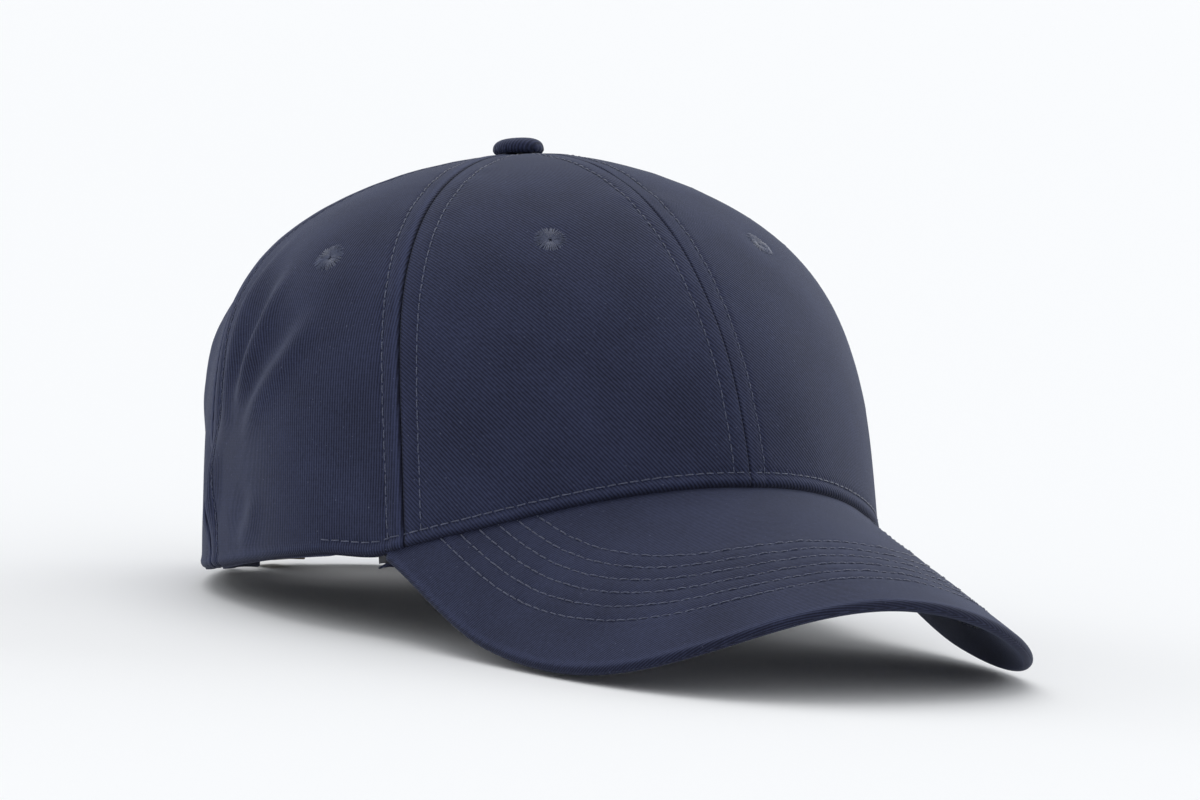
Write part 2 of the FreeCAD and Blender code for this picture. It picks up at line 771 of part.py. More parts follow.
def overall_box():
    """Box of the whole cap."""
    whole = FreeCAD.BoundBox()
    for item, _ in subparts:
        whole.add(item.Shape.optimalBoundingBox())
    return whole


document.recompute()
tip = Rotation(Vector(1, 0, 0), -size("resting_tip"))
place_all(Placement(Vector(), tip))
reach = overall_box()
stand = Placement(Vector(0, -reach.Center.y, -reach.ZMin), tip)
place_all(stand)

for item in document.Objects:
    if {"Invalid", "Error"} & set(item.State):
        raise RuntimeError(f"{item.Name} failed: {item.State}")
for item, _ in subparts:
    if item.Shape.isNull() or not item.Shape.isValid() or item.Shape.Volume <= 0:
        raise RuntimeError(f"{item.Label} has no valid solid")

os.makedirs("parts", exist_ok=True)
for item, _ in subparts:
    item.Shape.exportStep(f"parts/{item.Label}.step")

box_now = overall_box()
print("sub-parts", len(subparts))
print("box", [round(edge, 2) for edge in (box_now.XMin, box_now.YMin, box_now.ZMin, box_now.XMax,
                                          box_now.YMax, box_now.ZMax)])
print("stand base", [round(edge, 3) for edge in stand.Base])
print("strap axis through", [round(edge, 3) for edge in stand.multVec(strap_middle)],
      "along", [round(edge, 6) for edge in tip.multVec(Vector(0, 0, 1))])
print("lever axis through", [round(edge, 3) for edge in stand.multiply(HINGE).Base])
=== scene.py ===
# %% [markdown]
# # A six-panel baseball cap
# The cap is a soft crown of six sewn panels, a rolled visor, a covered button and a strap that closes
# the back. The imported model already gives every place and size, so this lesson builds finer cloth
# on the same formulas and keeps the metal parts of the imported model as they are.

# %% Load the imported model
import bmesh
import bpy
import json
import math
import numpy as np
from mathutils import Matrix, Vector


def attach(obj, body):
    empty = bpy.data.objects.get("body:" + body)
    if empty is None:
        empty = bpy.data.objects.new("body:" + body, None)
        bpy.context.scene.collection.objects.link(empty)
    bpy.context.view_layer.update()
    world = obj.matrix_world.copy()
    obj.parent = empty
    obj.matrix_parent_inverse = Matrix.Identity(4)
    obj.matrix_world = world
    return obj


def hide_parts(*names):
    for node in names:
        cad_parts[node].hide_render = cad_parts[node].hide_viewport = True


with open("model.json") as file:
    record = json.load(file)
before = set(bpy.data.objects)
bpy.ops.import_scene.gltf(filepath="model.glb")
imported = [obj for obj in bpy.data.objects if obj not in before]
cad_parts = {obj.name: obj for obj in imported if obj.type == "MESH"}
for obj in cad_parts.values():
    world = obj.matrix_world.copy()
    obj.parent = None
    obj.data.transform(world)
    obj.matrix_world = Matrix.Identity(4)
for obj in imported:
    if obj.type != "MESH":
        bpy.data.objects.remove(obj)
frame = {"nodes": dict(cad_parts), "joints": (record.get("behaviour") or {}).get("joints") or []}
nodes, scene = frame["nodes"], bpy.context.scene
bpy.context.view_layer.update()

# %% [markdown]
# A cap is drawn level, as it is worn, but it stands nose up on a table. The strap's turning axis is
# the wearer's up direction, so the turn from wearing to standing is read from that joint. Every
# formula below works in millimetres in the wearing frame, and one helper moves the result.

# %% From the wearing frame to the standing frame
strap_joint = next(joint for joint in frame["joints"] if joint["name"] == "strap_slide")
STRAP_BACK, STRAP_RISE = 35.4, 22.9
tip = math.atan2(strap_joint["axis"][1], strap_joint["axis"][2])
stand_turn = np.array([[1, 0, 0], [0, math.cos(tip), math.sin(tip)], [0, -math.sin(tip), math.cos(tip)]])
stand_base = np.array(strap_joint["pos_m"]) - stand_turn @ np.array([0, STRAP_BACK, STRAP_RISE]) / 1000


def stand(points):
    """Wearing-frame millimetres to standing metres."""
    return np.asarray(points, float) @ stand_turn.T / 1000 + stand_base


print("nose-up tip", round(math.degrees(tip), 2), "degrees")

# %% [markdown]
# A camera far away with a long lens keeps the cap's sides almost parallel, as in a catalogue picture.
# It looks from the wearer's right, a little above the floor.

# %% Camera
AZIMUTH, ELEVATION, ROLL = math.radians(-34.988), math.radians(-3.783), math.radians(-1.973)
DISTANCE, AIM_RIGHT, AIM_UP = 2500.0, 13.44, 49.52
back = np.array([math.sin(AZIMUTH) * math.cos(ELEVATION), -math.cos(AZIMUTH) * math.cos(ELEVATION),
                 math.sin(ELEVATION)])
level = np.array([math.cos(AZIMUTH), math.sin(AZIMUTH), 0.0])
upright = np.cross(back, level)
right = level * math.cos(ROLL) + upright * math.sin(ROLL)
upward = -level * math.sin(ROLL) + upright * math.cos(ROLL)
aim = AIM_RIGHT * right + AIM_UP * upward
camera = bpy.data.objects.new("camera", bpy.data.cameras.new("camera"))
camera.data.lens, camera.data.sensor_width = 274.3, 36.0
camera.data.clip_start, camera.data.clip_end = 0.05, 100
axes = np.stack([stand_turn @ right, stand_turn @ upward, stand_turn @ back], axis=1)
spot = stand(aim + DISTANCE * back)
camera.matrix_world = Matrix([[*axes[row], spot[row]] for row in range(3)] + [[0, 0, 0, 1]])
scene.collection.objects.link(camera)
scene.camera = camera
print("camera at", spot.round(3))

# %% [markdown]
# ## The crown's shape
# The crown is one smooth formula: a plan outline that shrinks with height. The height is measured by
# a climb number that is 1 at the foot and 0 at the apex, because rows spaced evenly in it are also
# spaced evenly on the cloth, even where the dome is flat.

# %% Crown surface
CROWN_RISE, APEX_BACK = 117.6, 8.6
SIDE_WALL = (87.3, 1.6, 4.4, -0.1, 0.03)
FRONT_WALL = (96.2, 2.2, 2.33, 0.0, 0.0)
BACK_WALL = (109.7, 2.2, 3.6, 0.095, 0.03)
PLAN_POWER = 1.85
FRONT_SEAM, BACK_SEAM = 60.0, 116.0


def wall(profile, share):
    reach, roundness, squareness, lean, flare = profile
    share = np.clip(share, 0, 1)
    dome = (1 - share ** squareness) ** (1 / roundness)
    return reach * dome * (1 - lean * share + flare * np.exp(-(share / 0.25) ** 2))


def plan_radius(angle, climb):
    """Distance from the crown's centre line, angle in degrees round from the front."""
    share, turn = 1 - np.asarray(climb, float) ** 2, np.radians(angle)
    along = np.where(np.abs(angle) < 90, wall(FRONT_WALL, share), wall(BACK_WALL, share))
    across = np.abs(np.sin(turn)) / wall(SIDE_WALL, share)
    return (across ** PLAN_POWER + (np.abs(np.cos(turn)) / along) ** PLAN_POWER) ** (-1 / PLAN_POWER)


def crown_skin(angle, climb):
    share, turn, radius = 1 - climb ** 2, np.radians(angle), plan_radius(angle, climb)
    return np.stack([radius * np.sin(turn), APEX_BACK * share ** 2 - radius * np.cos(turn), share * CROWN_RISE], -1)


def unit(vectors):
    return vectors / np.linalg.norm(vectors, axis=-1, keepdims=True)


def crown_normal(angle, climb):
    around = crown_skin(angle + 0.7, climb) - crown_skin(angle - 0.7, climb)
    higher = np.maximum(climb - 0.004, 1e-3)
    return unit(np.cross(around, crown_skin(angle, higher) - crown_skin(angle, higher + 0.008)))


def climb_at(share):
    return np.sqrt(np.clip(1 - np.asarray(share, float), 1e-6, 1.0))


def climb_at_radius(angle, radius):
    """Climb number near the apex at which the plan radius has shrunk to a radius."""
    low, high = np.full(np.shape(angle), 1e-4), np.full(np.shape(angle), 0.7)
    for _ in range(40):
        middle = (low + high) / 2
        inside = plan_radius(angle, middle) < radius
        low, high = np.where(inside, middle, low), np.where(inside, high, middle)
    return high


def smooth(value):
    value = np.clip(value, 0, 1)
    return value * value * (3 - 2 * value)


print("crown 20 mm up, front, side and back:", plan_radius(np.array([0, 90, 180]), climb_at(20 / CROWN_RISE)).round(1))

# %% [markdown]
# ## The visor's shape
# A visor is a flat D-shaped board rolled about an axis that slopes down to the front. A point on it
# has two flat coordinates, across and out, as on the paper pattern, and a depth under its top face.

# %% Visor surface
ROLL_RADIUS, SLOPE, ROOT_RISE, FRONT_REACH = 96.2, math.radians(28.26), 18.4, 96.2
HALF_WIDTH, WIDEST_BACK, VISOR_REACH, CORNER_POWER = 95.75, 44.5, 114.0, 3.19
ROOT_ANGLE, TUCK = 66.0, 2.2
CORNER_LIFT, LIFT_START, LIFT_LENGTH = 4.2, 8.0, 52.0


def corner_lift(across, out):
    """How far the visor stands off its plain roll towards the two corners at its root."""
    return CORNER_LIFT * smooth((LIFT_START - out) / LIFT_LENGTH) * (across / HALF_WIDTH) ** 2


def visor_point(across, out, depth=0.0):
    turn = np.asarray(across) / ROLL_RADIUS
    drop = (ROLL_RADIUS - depth) * np.cos(turn) - ROLL_RADIUS + corner_lift(np.asarray(across), out)
    forward = FRONT_REACH + out * math.cos(SLOPE) + drop * math.sin(SLOPE)
    rise = ROOT_RISE - out * math.sin(SLOPE) + drop * math.cos(SLOPE)
    return np.stack([(ROLL_RADIUS - depth) * np.sin(turn), -forward, rise], -1)


def visor_flat(spots, depth=0.0):
    """Flat coordinates of points on the rolled face."""
    across = ROLL_RADIUS * np.arcsin(np.clip(spots[..., 0] / (ROLL_RADIUS - depth), -1, 1))
    forward = -spots[..., 1] - FRONT_REACH
    return across, forward * math.cos(SLOPE) - (spots[..., 2] - ROOT_RISE) * math.sin(SLOPE)


def visor_rise(spots, depth=0.0):
    """Height of the rolled face over plan positions."""
    drop = np.sqrt(np.maximum((ROLL_RADIUS - depth) ** 2 - spots[..., 0] ** 2, 0)) - ROLL_RADIUS
    drop = drop + corner_lift(*visor_flat(spots, depth))
    return ROOT_RISE + (drop + (spots[..., 1] + FRONT_REACH) * math.sin(SLOPE)) / math.cos(SLOPE)


def visor_outline(turn, inset=0.0):
    power = 2 / CORNER_POWER
    across = (HALF_WIDTH - inset) * np.sign(np.cos(turn)) * np.abs(np.cos(turn)) ** power
    return across, (VISOR_REACH - inset) * np.sin(turn) ** power - WIDEST_BACK


def crown_point(angle, share, depth=0.0):
    """Points at a depth under the crown's outer skin."""
    climb = np.sqrt(1 - np.clip(share, -0.2, 0.9999))
    return crown_skin(angle, climb) - crown_normal(angle, climb) * np.asarray(depth)[..., None]


def seam_share(angle, depth, lift, layer=0.0):
    """Share of the rise at which the crown, at a depth, stands a lift above the visor's face."""
    share = np.full(np.shape(angle), 0.1)
    for _ in range(16):
        spots = crown_point(angle, share, depth)
        share = share + 0.7 * (visor_rise(spots, layer) + lift - spots[..., 2]) / CROWN_RISE
    return share


def rim_share(angle, depth=0.0, lift=0.0):
    """Share of the rise of the crown's lower edge: on the visor in front, and the rim behind it."""
    angle = np.asarray(angle, float)
    bearing = np.abs(angle)
    rim = (6.0 + 4.0 * smooth((bearing - BACK_SEAM) / 44) + lift) / CROWN_RISE
    seam = seam_share(np.clip(angle, -ROOT_ANGLE, ROOT_ANGLE), depth, 0.5 + lift)
    blend = smooth((bearing - ROOT_ANGLE) / 12)
    return np.where(bearing > ROOT_ANGLE + 12, rim, seam * (1 - blend) + blend * rim)


RIM_ANGLES = np.linspace(-180, 180, 721)
RIM_TABLE = rim_share(RIM_ANGLES)


def rim_height(angle):
    return np.interp(angle, RIM_ANGLES, RIM_TABLE) * CROWN_RISE


print("crown edge height at front, root and back:", rim_height(np.array([0, 66, 180])).round(1))

# %% [markdown]
# ## Turning points into cloth
# Cloth here is two skins with a closed edge all round, so that each piece is a solid shape and
# its faces point outwards. The grain map, a UV map in metres, runs along the weave, so that a
# twill pattern follows the cloth as it bends.

# %% Mesh helpers
made, flats = {}, {}


def mesh_piece(name, points, faces, grain=None, shades=None):
    """A smooth-shaded object from wearing-frame millimetres."""
    mesh = bpy.data.meshes.new(name)
    mesh.from_pydata(stand(points).tolist(), [], faces)
    mesh.polygons.foreach_set("use_smooth", [True] * len(mesh.polygons))
    loops = np.empty(len(mesh.loops), int)
    mesh.loops.foreach_get("vertex_index", loops)
    if grain is not None:
        layer = mesh.uv_layers.new(name="grain")
        layer.data.foreach_set("uv", (np.asarray(grain, float)[loops] / 1000).ravel())
    for label, values in (shades or {}).items():
        mesh.attributes.new(label, "FLOAT", "POINT").data.foreach_set("value", np.asarray(values, np.float32))
    piece = bpy.data.objects.new(name, mesh)
    scene.collection.objects.link(piece)
    made[name] = piece
    return piece


def grid_faces(columns, rows, start=0, flip=False):
    """Quads of a grid whose points are stored column by column."""
    first = (np.arange(columns - 1)[:, None] * rows + np.arange(rows - 1)).ravel() + start
    quads = np.stack([first, first + rows, first + rows + 1, first + 1], 1)
    return quads[:, ::-1] if flip else quads


def edge_ring(columns, rows):
    """Indices round the border of a grid, anticlockwise with columns to the right and rows up."""
    return np.concatenate([np.arange(columns) * rows, (columns - 1) * rows + np.arange(1, rows),
                           np.arange(columns - 2, -1, -1) * rows + rows - 1, np.arange(rows - 2, 0, -1)])


def cloth(name, outer, inner, grain, shades=None, hole=None):
    """A closed sheet between an outer and an inner grid of points, with a hole where cells are marked."""
    columns, rows = outer.shape[:2]
    count = columns * rows
    ring = edge_ring(columns, rows)
    after = np.roll(ring, -1)
    rim = np.stack([ring, ring + count, after + count, after], 1)
    over, under = grid_faces(columns, rows), grid_faces(columns, rows, count, True)
    if hole is not None:
        gone = hole.ravel()
        sides = np.stack([over[gone], np.roll(over[gone], -1, 1)], -1).reshape(-1, 2)
        known = {tuple(pair) for pair in sides.tolist()}
        lone = np.array([pair for pair in sides.tolist() if tuple(pair[::-1]) not in known])
        wall_faces = np.stack([lone[:, 0], lone[:, 1], lone[:, 1] + count, lone[:, 0] + count], 1)
        over, under, rim = over[~gone], under[~gone], np.concatenate([rim, wall_faces])
    faces = np.concatenate([over, under, rim])
    spread = np.cross(outer[1:, :-1] - outer[:-1, :-1], outer[:-1, 1:] - outer[:-1, :-1]).reshape(-1, 3)
    away = (outer - inner)[:-1, :-1].reshape(-1, 3)
    if np.sum(spread * away) < 0:
        faces = faces[:, ::-1]
    points = np.concatenate([outer.reshape(-1, 3), inner.reshape(-1, 3)])
    double = {label: np.tile(np.ravel(values), 2) for label, values in (shades or {}).items()}
    over_step, up_step = grain[1:, :-1] - grain[:-1, :-1], grain[:-1, 1:] - grain[:-1, :-1]
    cut = abs(np.sum(over_step[..., 0] * up_step[..., 1] - over_step[..., 1] * up_step[..., 0]))
    flats[name] = (*np.ptp(grain.reshape(-1, 2), axis=0) / 1000, cut / 1e6)
    return mesh_piece(name, points, faces.tolist(), np.tile(grain.reshape(-1, 2), (2, 1)), double)


def spaced(count, crowd=0.5):
    """Numbers from 0 to 1, closer together at both ends."""
    even = np.linspace(0, 1, count)
    return even * (1 - crowd) + crowd * (0.5 - 0.5 * np.cos(np.pi * even))


def ripple(x, y, seed):
    """A soft uneven field from a few crossing waves, about -1 to 1."""
    waves = np.random.default_rng(seed)
    total = np.zeros(np.broadcast(x, y).shape)
    for _ in range(7):
        turn, length, shift = waves.uniform(0, math.pi), waves.uniform(0.6, 1.8), waves.uniform(0, 6.3)
        total = total + np.sin((x * math.cos(turn) + y * math.sin(turn)) / length + shift)
    return total / 3.2


print("cloth helpers ready")

# %% [markdown]
# ## Where cloth is sewn
# A sewn seam is a shallow groove between two turned edges, with a needle row on each side that pulls
# the cloth down in small dents. These distances are measured on the cloth, so one rule gives both
# the relief of the panels and the places of the stitches.

# %% Distances along and away from a seam
NEEDLE_GAP, STITCH_PITCH = 5.0, 3.0
PANELS = {"front": (0.0, FRONT_SEAM), "side": (FRONT_SEAM, BACK_SEAM), "back": (BACK_SEAM, 180.0)}
SIDES = {"left": 1, "right": -1}
run_climbs = np.linspace(1.0, 0.02, 500)
run_tables = {}


def seam_run(seam, climb):
    """Length up the crown along a seam."""
    if seam not in run_tables:
        line = crown_skin(np.full(500, seam), run_climbs)
        run_tables[seam] = np.concatenate([[0], np.cumsum(np.linalg.norm(np.diff(line, axis=0), axis=1))])
    return np.interp(-np.asarray(climb), -run_climbs, run_tables[seam])


def needle_row(seam, climb, span):
    """Distance of a needle row from its seam, less where the panel narrows to the apex."""
    return np.minimum(NEEDLE_GAP, 0.4 * np.radians(span) * plan_radius(seam, climb))


def turned_edge(gap, radius):
    """How far a folded edge falls away."""
    near = np.clip(1 - gap / radius, 0, 1)
    return radius * (1 - np.sqrt(1 - near ** 2))


def dent(gap, width):
    return np.exp(-(gap / width) ** 2)


print("seam length, front centre:", round(float(seam_run(0.0, 0.02)), 1), "mm")

# %% [markdown]
# ## Where soft cloth slouches
# The front is backed with buckram and stays taut. The side and back panels are single cloth, so
# they hang in soft slanting folds from the eyelets to the rim. Each fold here is a ridge along a
# short line with a hollow on its front side, which is quicker and steadier than a simulation.

# %% Folds of the side and back panels
# Each fold: its line as (bearing, height) pairs, then its relative height and half width in millimetres.
FOLD_HEIGHT, FOLD_HOLLOW = 2.1, 0.75
FOLDS = [([(76, 74), (84, 60), (96, 44), (100, 36)], 0.85, 4.2),
         ([(88, 88), (92, 70), (100, 51), (103, 42)], 1.0, 3.6),
         ([(99, 99), (103, 70), (107, 47), (114, 35)], 1.1, 4.4),
         ([(112, 44), (115, 26), (121, 12)], 1.0, 5.0),
         ([(128, 86), (134, 60), (137, 36)], 1.0, 6.0),
         ([(146, 96), (150, 78), (148, 66)], 0.7, 6.0),
         ([(94, 26), (98, 16), (104, 9)], 0.45, 4.5)]


def fold_place(bearing, height):
    """Millimetre position on the side of the crown, as if it were unrolled."""
    climb = climb_at(np.asarray(height, float) / CROWN_RISE)
    return np.radians(np.asarray(bearing, float) - 90) * plan_radius(90.0, climb), np.asarray(height, float) * 1.1


def slouch(bearing, climb, side):
    """Outward lift of the soft panels."""
    height = (1 - climb ** 2) * CROWN_RISE
    x, y = fold_place(bearing, height)
    lift = 0.7 * ripple(x / 9, y / 13, 5 + SIDES[side])
    for line, rise, width in FOLDS:
        knots = np.stack(fold_place(*np.transpose(line)), 1)
        best, signed, along = np.full(x.shape, 1e9), np.zeros(x.shape), np.zeros(x.shape)
        steps = np.linalg.norm(np.diff(knots, axis=0), axis=1)
        done = 0.0
        for first, last, step in zip(knots, knots[1:], steps):
            share = np.clip(((x - first[0]) * (last - first)[0] + (y - first[1]) * (last - first)[1]) / step ** 2, 0, 1)
            dx, dy = x - first[0] - share * (last - first)[0], y - first[1] - share * (last - first)[1]
            far = np.hypot(dx, dy)
            turn = np.sign((last - first)[0] * dy - (last - first)[1] * dx)
            closer = far < best
            best = np.where(closer, far, best)
            signed = np.where(closer, far * turn, signed)
            along = np.where(closer, done + share * step, along)
            done += step
        taper = smooth(along / done * 2.6) * smooth((1 - along / done) * 2.6)
        hollow = FOLD_HOLLOW * dent(signed - 1.5 * width, 1.2 * width)
        lift = lift + FOLD_HEIGHT * rise * taper * (dent(signed, width) - hollow)
    free = smooth((bearing - FRONT_SEAM - 2) / 16) * smooth((CROWN_RISE - height - 3) / 16)
    return lift * free * smooth((180.5 - bearing) / 12)


probe = slouch(np.linspace(62, 178, 60)[:, None], np.linspace(0.2, 0.98, 60)[None, :], "right")
print("folds from", probe.min().round(2), "to", probe.max().round(2), "mm")

# %% [markdown]
# ## Crown panels
# Each panel is a gore: wide at the rim and pointed at the apex. Its outer skin follows the crown
# formula plus a small lift for seams, needle rows, hem and folds. The grain map measures across
# and up from the panel's centre line, as the cut cloth was.

# %% Relief of the panels
ARCH_HALF, ARCH_RISE, ARCH_ROW, HEM_ROW, HEM_END = 42.0, 20.0, 5.5, 4.0, 76.0
EYELETS = {"front": (29.9, 0.752, 2.0), "side": (79.0, 0.735, 1.3), "back": (148.0, 0.735, 1.3)}
SEAM_PUFF = {("front", 0.0): 0.05, ("front", FRONT_SEAM): 0.03, ("side", FRONT_SEAM): 0.42,
             ("side", BACK_SEAM): 0.4, ("back", BACK_SEAM): 0.4, ("back", 180.0): 0.35}


def arch_gap(spots):
    """Distance outside the arch's edge, seen from behind."""
    across, up = np.abs(spots[..., 0]), spots[..., 2]
    return np.where(up > ARCH_RISE, np.hypot(across, up - ARCH_RISE), across) - ARCH_HALF


def panel_lift(place, side, bearing, climb):
    """Outward lift of a panel's outer skin."""
    height = (1 - climb ** 2) * CROWN_RISE
    above = height - rim_height(bearing)
    start, end = PANELS[place]
    lift = np.zeros(np.shape(height)) if place == "front" else slouch(bearing, climb, side)
    x, y = fold_place(bearing, height)
    lift = lift + (0.16 if place == "front" else 0.08) * ripple(x / 6, y / 8, 31 + SIDES[side])
    for seam in (start, end):
        gap = np.abs(np.radians(bearing - seam)) * plan_radius(seam, climb)
        row, run = needle_row(seam, climb, end - start), seam_run(seam, climb)
        inside = gap / np.maximum(row, 0.1)
        fold_radius = 0.35 if seam == 0 else 0.5 if place == "front" else 0.8
        puffed = SEAM_PUFF[place, seam] * np.sin(np.pi * np.clip(inside, 0, 1)) ** 0.7
        lift = lift - turned_edge(gap, fold_radius) + puffed
        lift = lift - dent(gap - row, 0.8) * (0.26 + 0.1 * np.cos(2 * np.pi * run / STITCH_PITCH))
        lift = lift + 0.12 * dent(gap - row, 4.0) * ripple(run / 1.6, gap / 6, 77 + int(seam)) * smooth(inside)
    hem_dent = 0.3 + 0.1 * np.cos(np.radians(bearing) * 90 * 2 * np.pi / STITCH_PITCH)
    lift = lift - dent(above - HEM_ROW, 0.8) * hem_dent * smooth((HEM_END - bearing) / 2)
    lift = lift + 0.35 * dent(above - 2.2, 1.2) - turned_edge(above, 1.7)
    if place == "back":
        gap = arch_gap(crown_skin(bearing, climb))
        lift = lift - turned_edge(gap, 0.9) - 0.26 * dent(gap - ARCH_ROW, 0.8)
    angle, share, _ = EYELETS[place]
    middle = crown_skin(np.array(angle), climb_at(share))
    from_eyelet = np.linalg.norm(crown_skin(bearing, climb) - middle, axis=-1)
    return lift - 0.5 * dent(from_eyelet, 5.0)


def crown_face(place, side, bearing, climb, over=0.0):
    """Points and outward normals of a panel's outer skin, a little over it if asked."""
    bearing, climb = np.broadcast_arrays(np.asarray(bearing, float), np.asarray(climb, float))
    angle = SIDES[side] * bearing
    away = crown_normal(angle, climb)
    lift = panel_lift(place, side, bearing, climb) + over
    return crown_skin(angle, climb) + away * lift[..., None], away


# %% Grids of the panels
def crown_at(across, up):
    """Bearing of the crown's point at a distance to the side and a height, at the back."""
    climb = climb_at(np.asarray(up) / CROWN_RISE)
    bearing = 180 - np.degrees(np.arcsin(np.clip(np.asarray(across) / BACK_WALL[0], -1, 1)))
    for _ in range(14):
        radius = plan_radius(bearing, climb)
        bearing = bearing + np.degrees((across - radius * np.sin(np.radians(bearing))) /
                                       (radius * np.cos(np.radians(bearing))))
    return bearing, climb


def foot_line(place, count):
    """Bearings and climbs along a panel's lower edge; at the back it runs up over the arch."""
    start, end = PANELS[place]
    share = spaced(count, 0.6)
    if place != "back":
        bearing = start + (end - start) * share
        return bearing, climb_at(rim_height(bearing) / CROWN_RISE)
    corner = crown_at(ARCH_HALF, 10.0)[0]
    along_rim = np.linspace(start, corner, 200)
    leg = crown_at(np.full(40, ARCH_HALF), np.linspace(10.2, ARCH_RISE, 40))
    turn = np.linspace(0, np.pi / 2, 160)[1:]
    bow = crown_at(ARCH_HALF * np.cos(turn), ARCH_RISE + ARCH_HALF * np.sin(turn))
    bearing = np.concatenate([along_rim, leg[0], bow[0]])
    climb = np.concatenate([climb_at(rim_height(along_rim) / CROWN_RISE), leg[1], bow[1]])
    line = crown_skin(bearing, climb)
    run = np.concatenate([[0], np.cumsum(np.linalg.norm(np.diff(line, axis=0), axis=1))])
    wanted = share * run[-1]
    return np.interp(wanted, run, bearing), np.interp(wanted, run, climb)


def panel(place, side, columns=104, rows=196):
    """One crown panel with its eyelet hole."""
    start, end = PANELS[place]
    low_bearing, low_climb = foot_line(place, columns)
    top_bearing = start + (end - start) * spaced(columns, 0.6)
    top_climb = climb_at_radius(top_bearing, 1.8)
    rise = spaced(rows, 0.3)
    bearing = low_bearing[:, None] + (top_bearing - low_bearing)[:, None] * rise
    climb = low_climb[:, None] + (top_climb - low_climb)[:, None] * rise
    outer, away = crown_face(place, side, bearing, climb)
    soft = 0 * climb if place == "front" else slouch(bearing, climb, side)
    inner = crown_skin(SIDES[side] * bearing, climb) + away * (soft - 1.0)[..., None]
    middle = (start + end) / 2
    grain = np.stack([np.radians(bearing - middle) * plan_radius(middle, climb) * SIDES[side],
                      seam_run(middle, climb)], -1)
    angle, share, _ = EYELETS[place]
    centre = crown_skin(np.array(SIDES[side] * angle), climb_at(share))
    cells = (outer[1:, 1:] + outer[:-1, :-1]) / 2
    hole = np.linalg.norm(cells - centre, axis=-1) < 1.3
    gaps = [np.abs(np.radians(bearing - seam)) * plan_radius(seam, climb) for seam in (start, end)]
    nearest, above = np.minimum(*gaps), (1 - climb ** 2) * CROWN_RISE - rim_height(bearing)
    # Tone stored per point: paler just beside the seams and on the hem's bead, partly edge wear and partly painted
    # highlight on the raised lips; painted shade in the seam grooves and in the gap under the hem.
    wear_and_shade = (0.2 if place == "front" else 0.9) * dent(nearest - 1.3, 0.8) - 2.2 * dent(gaps[1], 0.45)
    wear_and_shade = wear_and_shade - (0.6 if place == "front" else 2.2) * dent(gaps[0], 0.45)
    wear_and_shade = wear_and_shade - 2.0 * dent(above, 1.0) + 0.4 * dent(above - 2.4, 0.8)
    return cloth(f"panel_{place}_{side}_twill", outer, inner, grain, {"wear_and_shade": wear_and_shade}, hole)


print("panel grids ready")

# %% [markdown]
# ## Finishes
# Twill is a weave of slanting ribs. One material recipe makes all of them: a wave across the ribs, a
# finer wave for the single yarns, soft mottling for faded dye, pale specks of lint, and a tone stored on
# the mesh: paler where an edge wears and where painted highlight lies on raised seam lips, darker with
# painted shade in seam grooves, under the hem and round the visor's edge. The same rib wave drives the
# bump, so light catches each rib.

# %% Material helpers
def new_material(name, roughness, sheen=0.0, metallic=0.0, specular=0.5):
    """A material with its plain shader and its node tree."""
    material = bpy.data.materials.new(name)
    material.use_nodes = True
    tree = material.node_tree
    shader = tree.nodes["Principled BSDF"]
    shader.inputs["Roughness"].default_value = roughness
    shader.inputs["Metallic"].default_value = metallic
    shader.inputs["Specular IOR Level"].default_value = specular
    shader.inputs["Sheen Weight"].default_value = sheen
    shader.inputs["Sheen Roughness"].default_value = 0.45
    return material, tree, shader


def add(tree, kind, inputs=None, **settings):
    """A node with its settings and inputs; an input is a number or another node's socket."""
    node = tree.nodes.new(kind)
    for label, value in settings.items():
        setattr(node, label, value)
    for label, value in (inputs or {}).items():
        if isinstance(value, bpy.types.NodeSocket):
            tree.links.new(value, node.inputs[label])
        else:
            node.inputs[label].default_value = value
    return node


def calc(tree, operation, first, second=0.0, third=0.0):
    return add(tree, "ShaderNodeMath", {0: first, 1: second, 2: third}, operation=operation).outputs[0]


def blend_colours(tree, share, first, second):
    mix = tree.nodes.new("ShaderNodeMix")
    mix.data_type = "RGBA"
    for socket, value in ((mix.inputs[0], share), (mix.inputs[6], first), (mix.inputs[7], second)):
        if isinstance(value, bpy.types.NodeSocket):
            tree.links.new(value, socket)
        else:
            socket.default_value = value if isinstance(value, float) else (*value, 1)
    return mix.outputs[2]


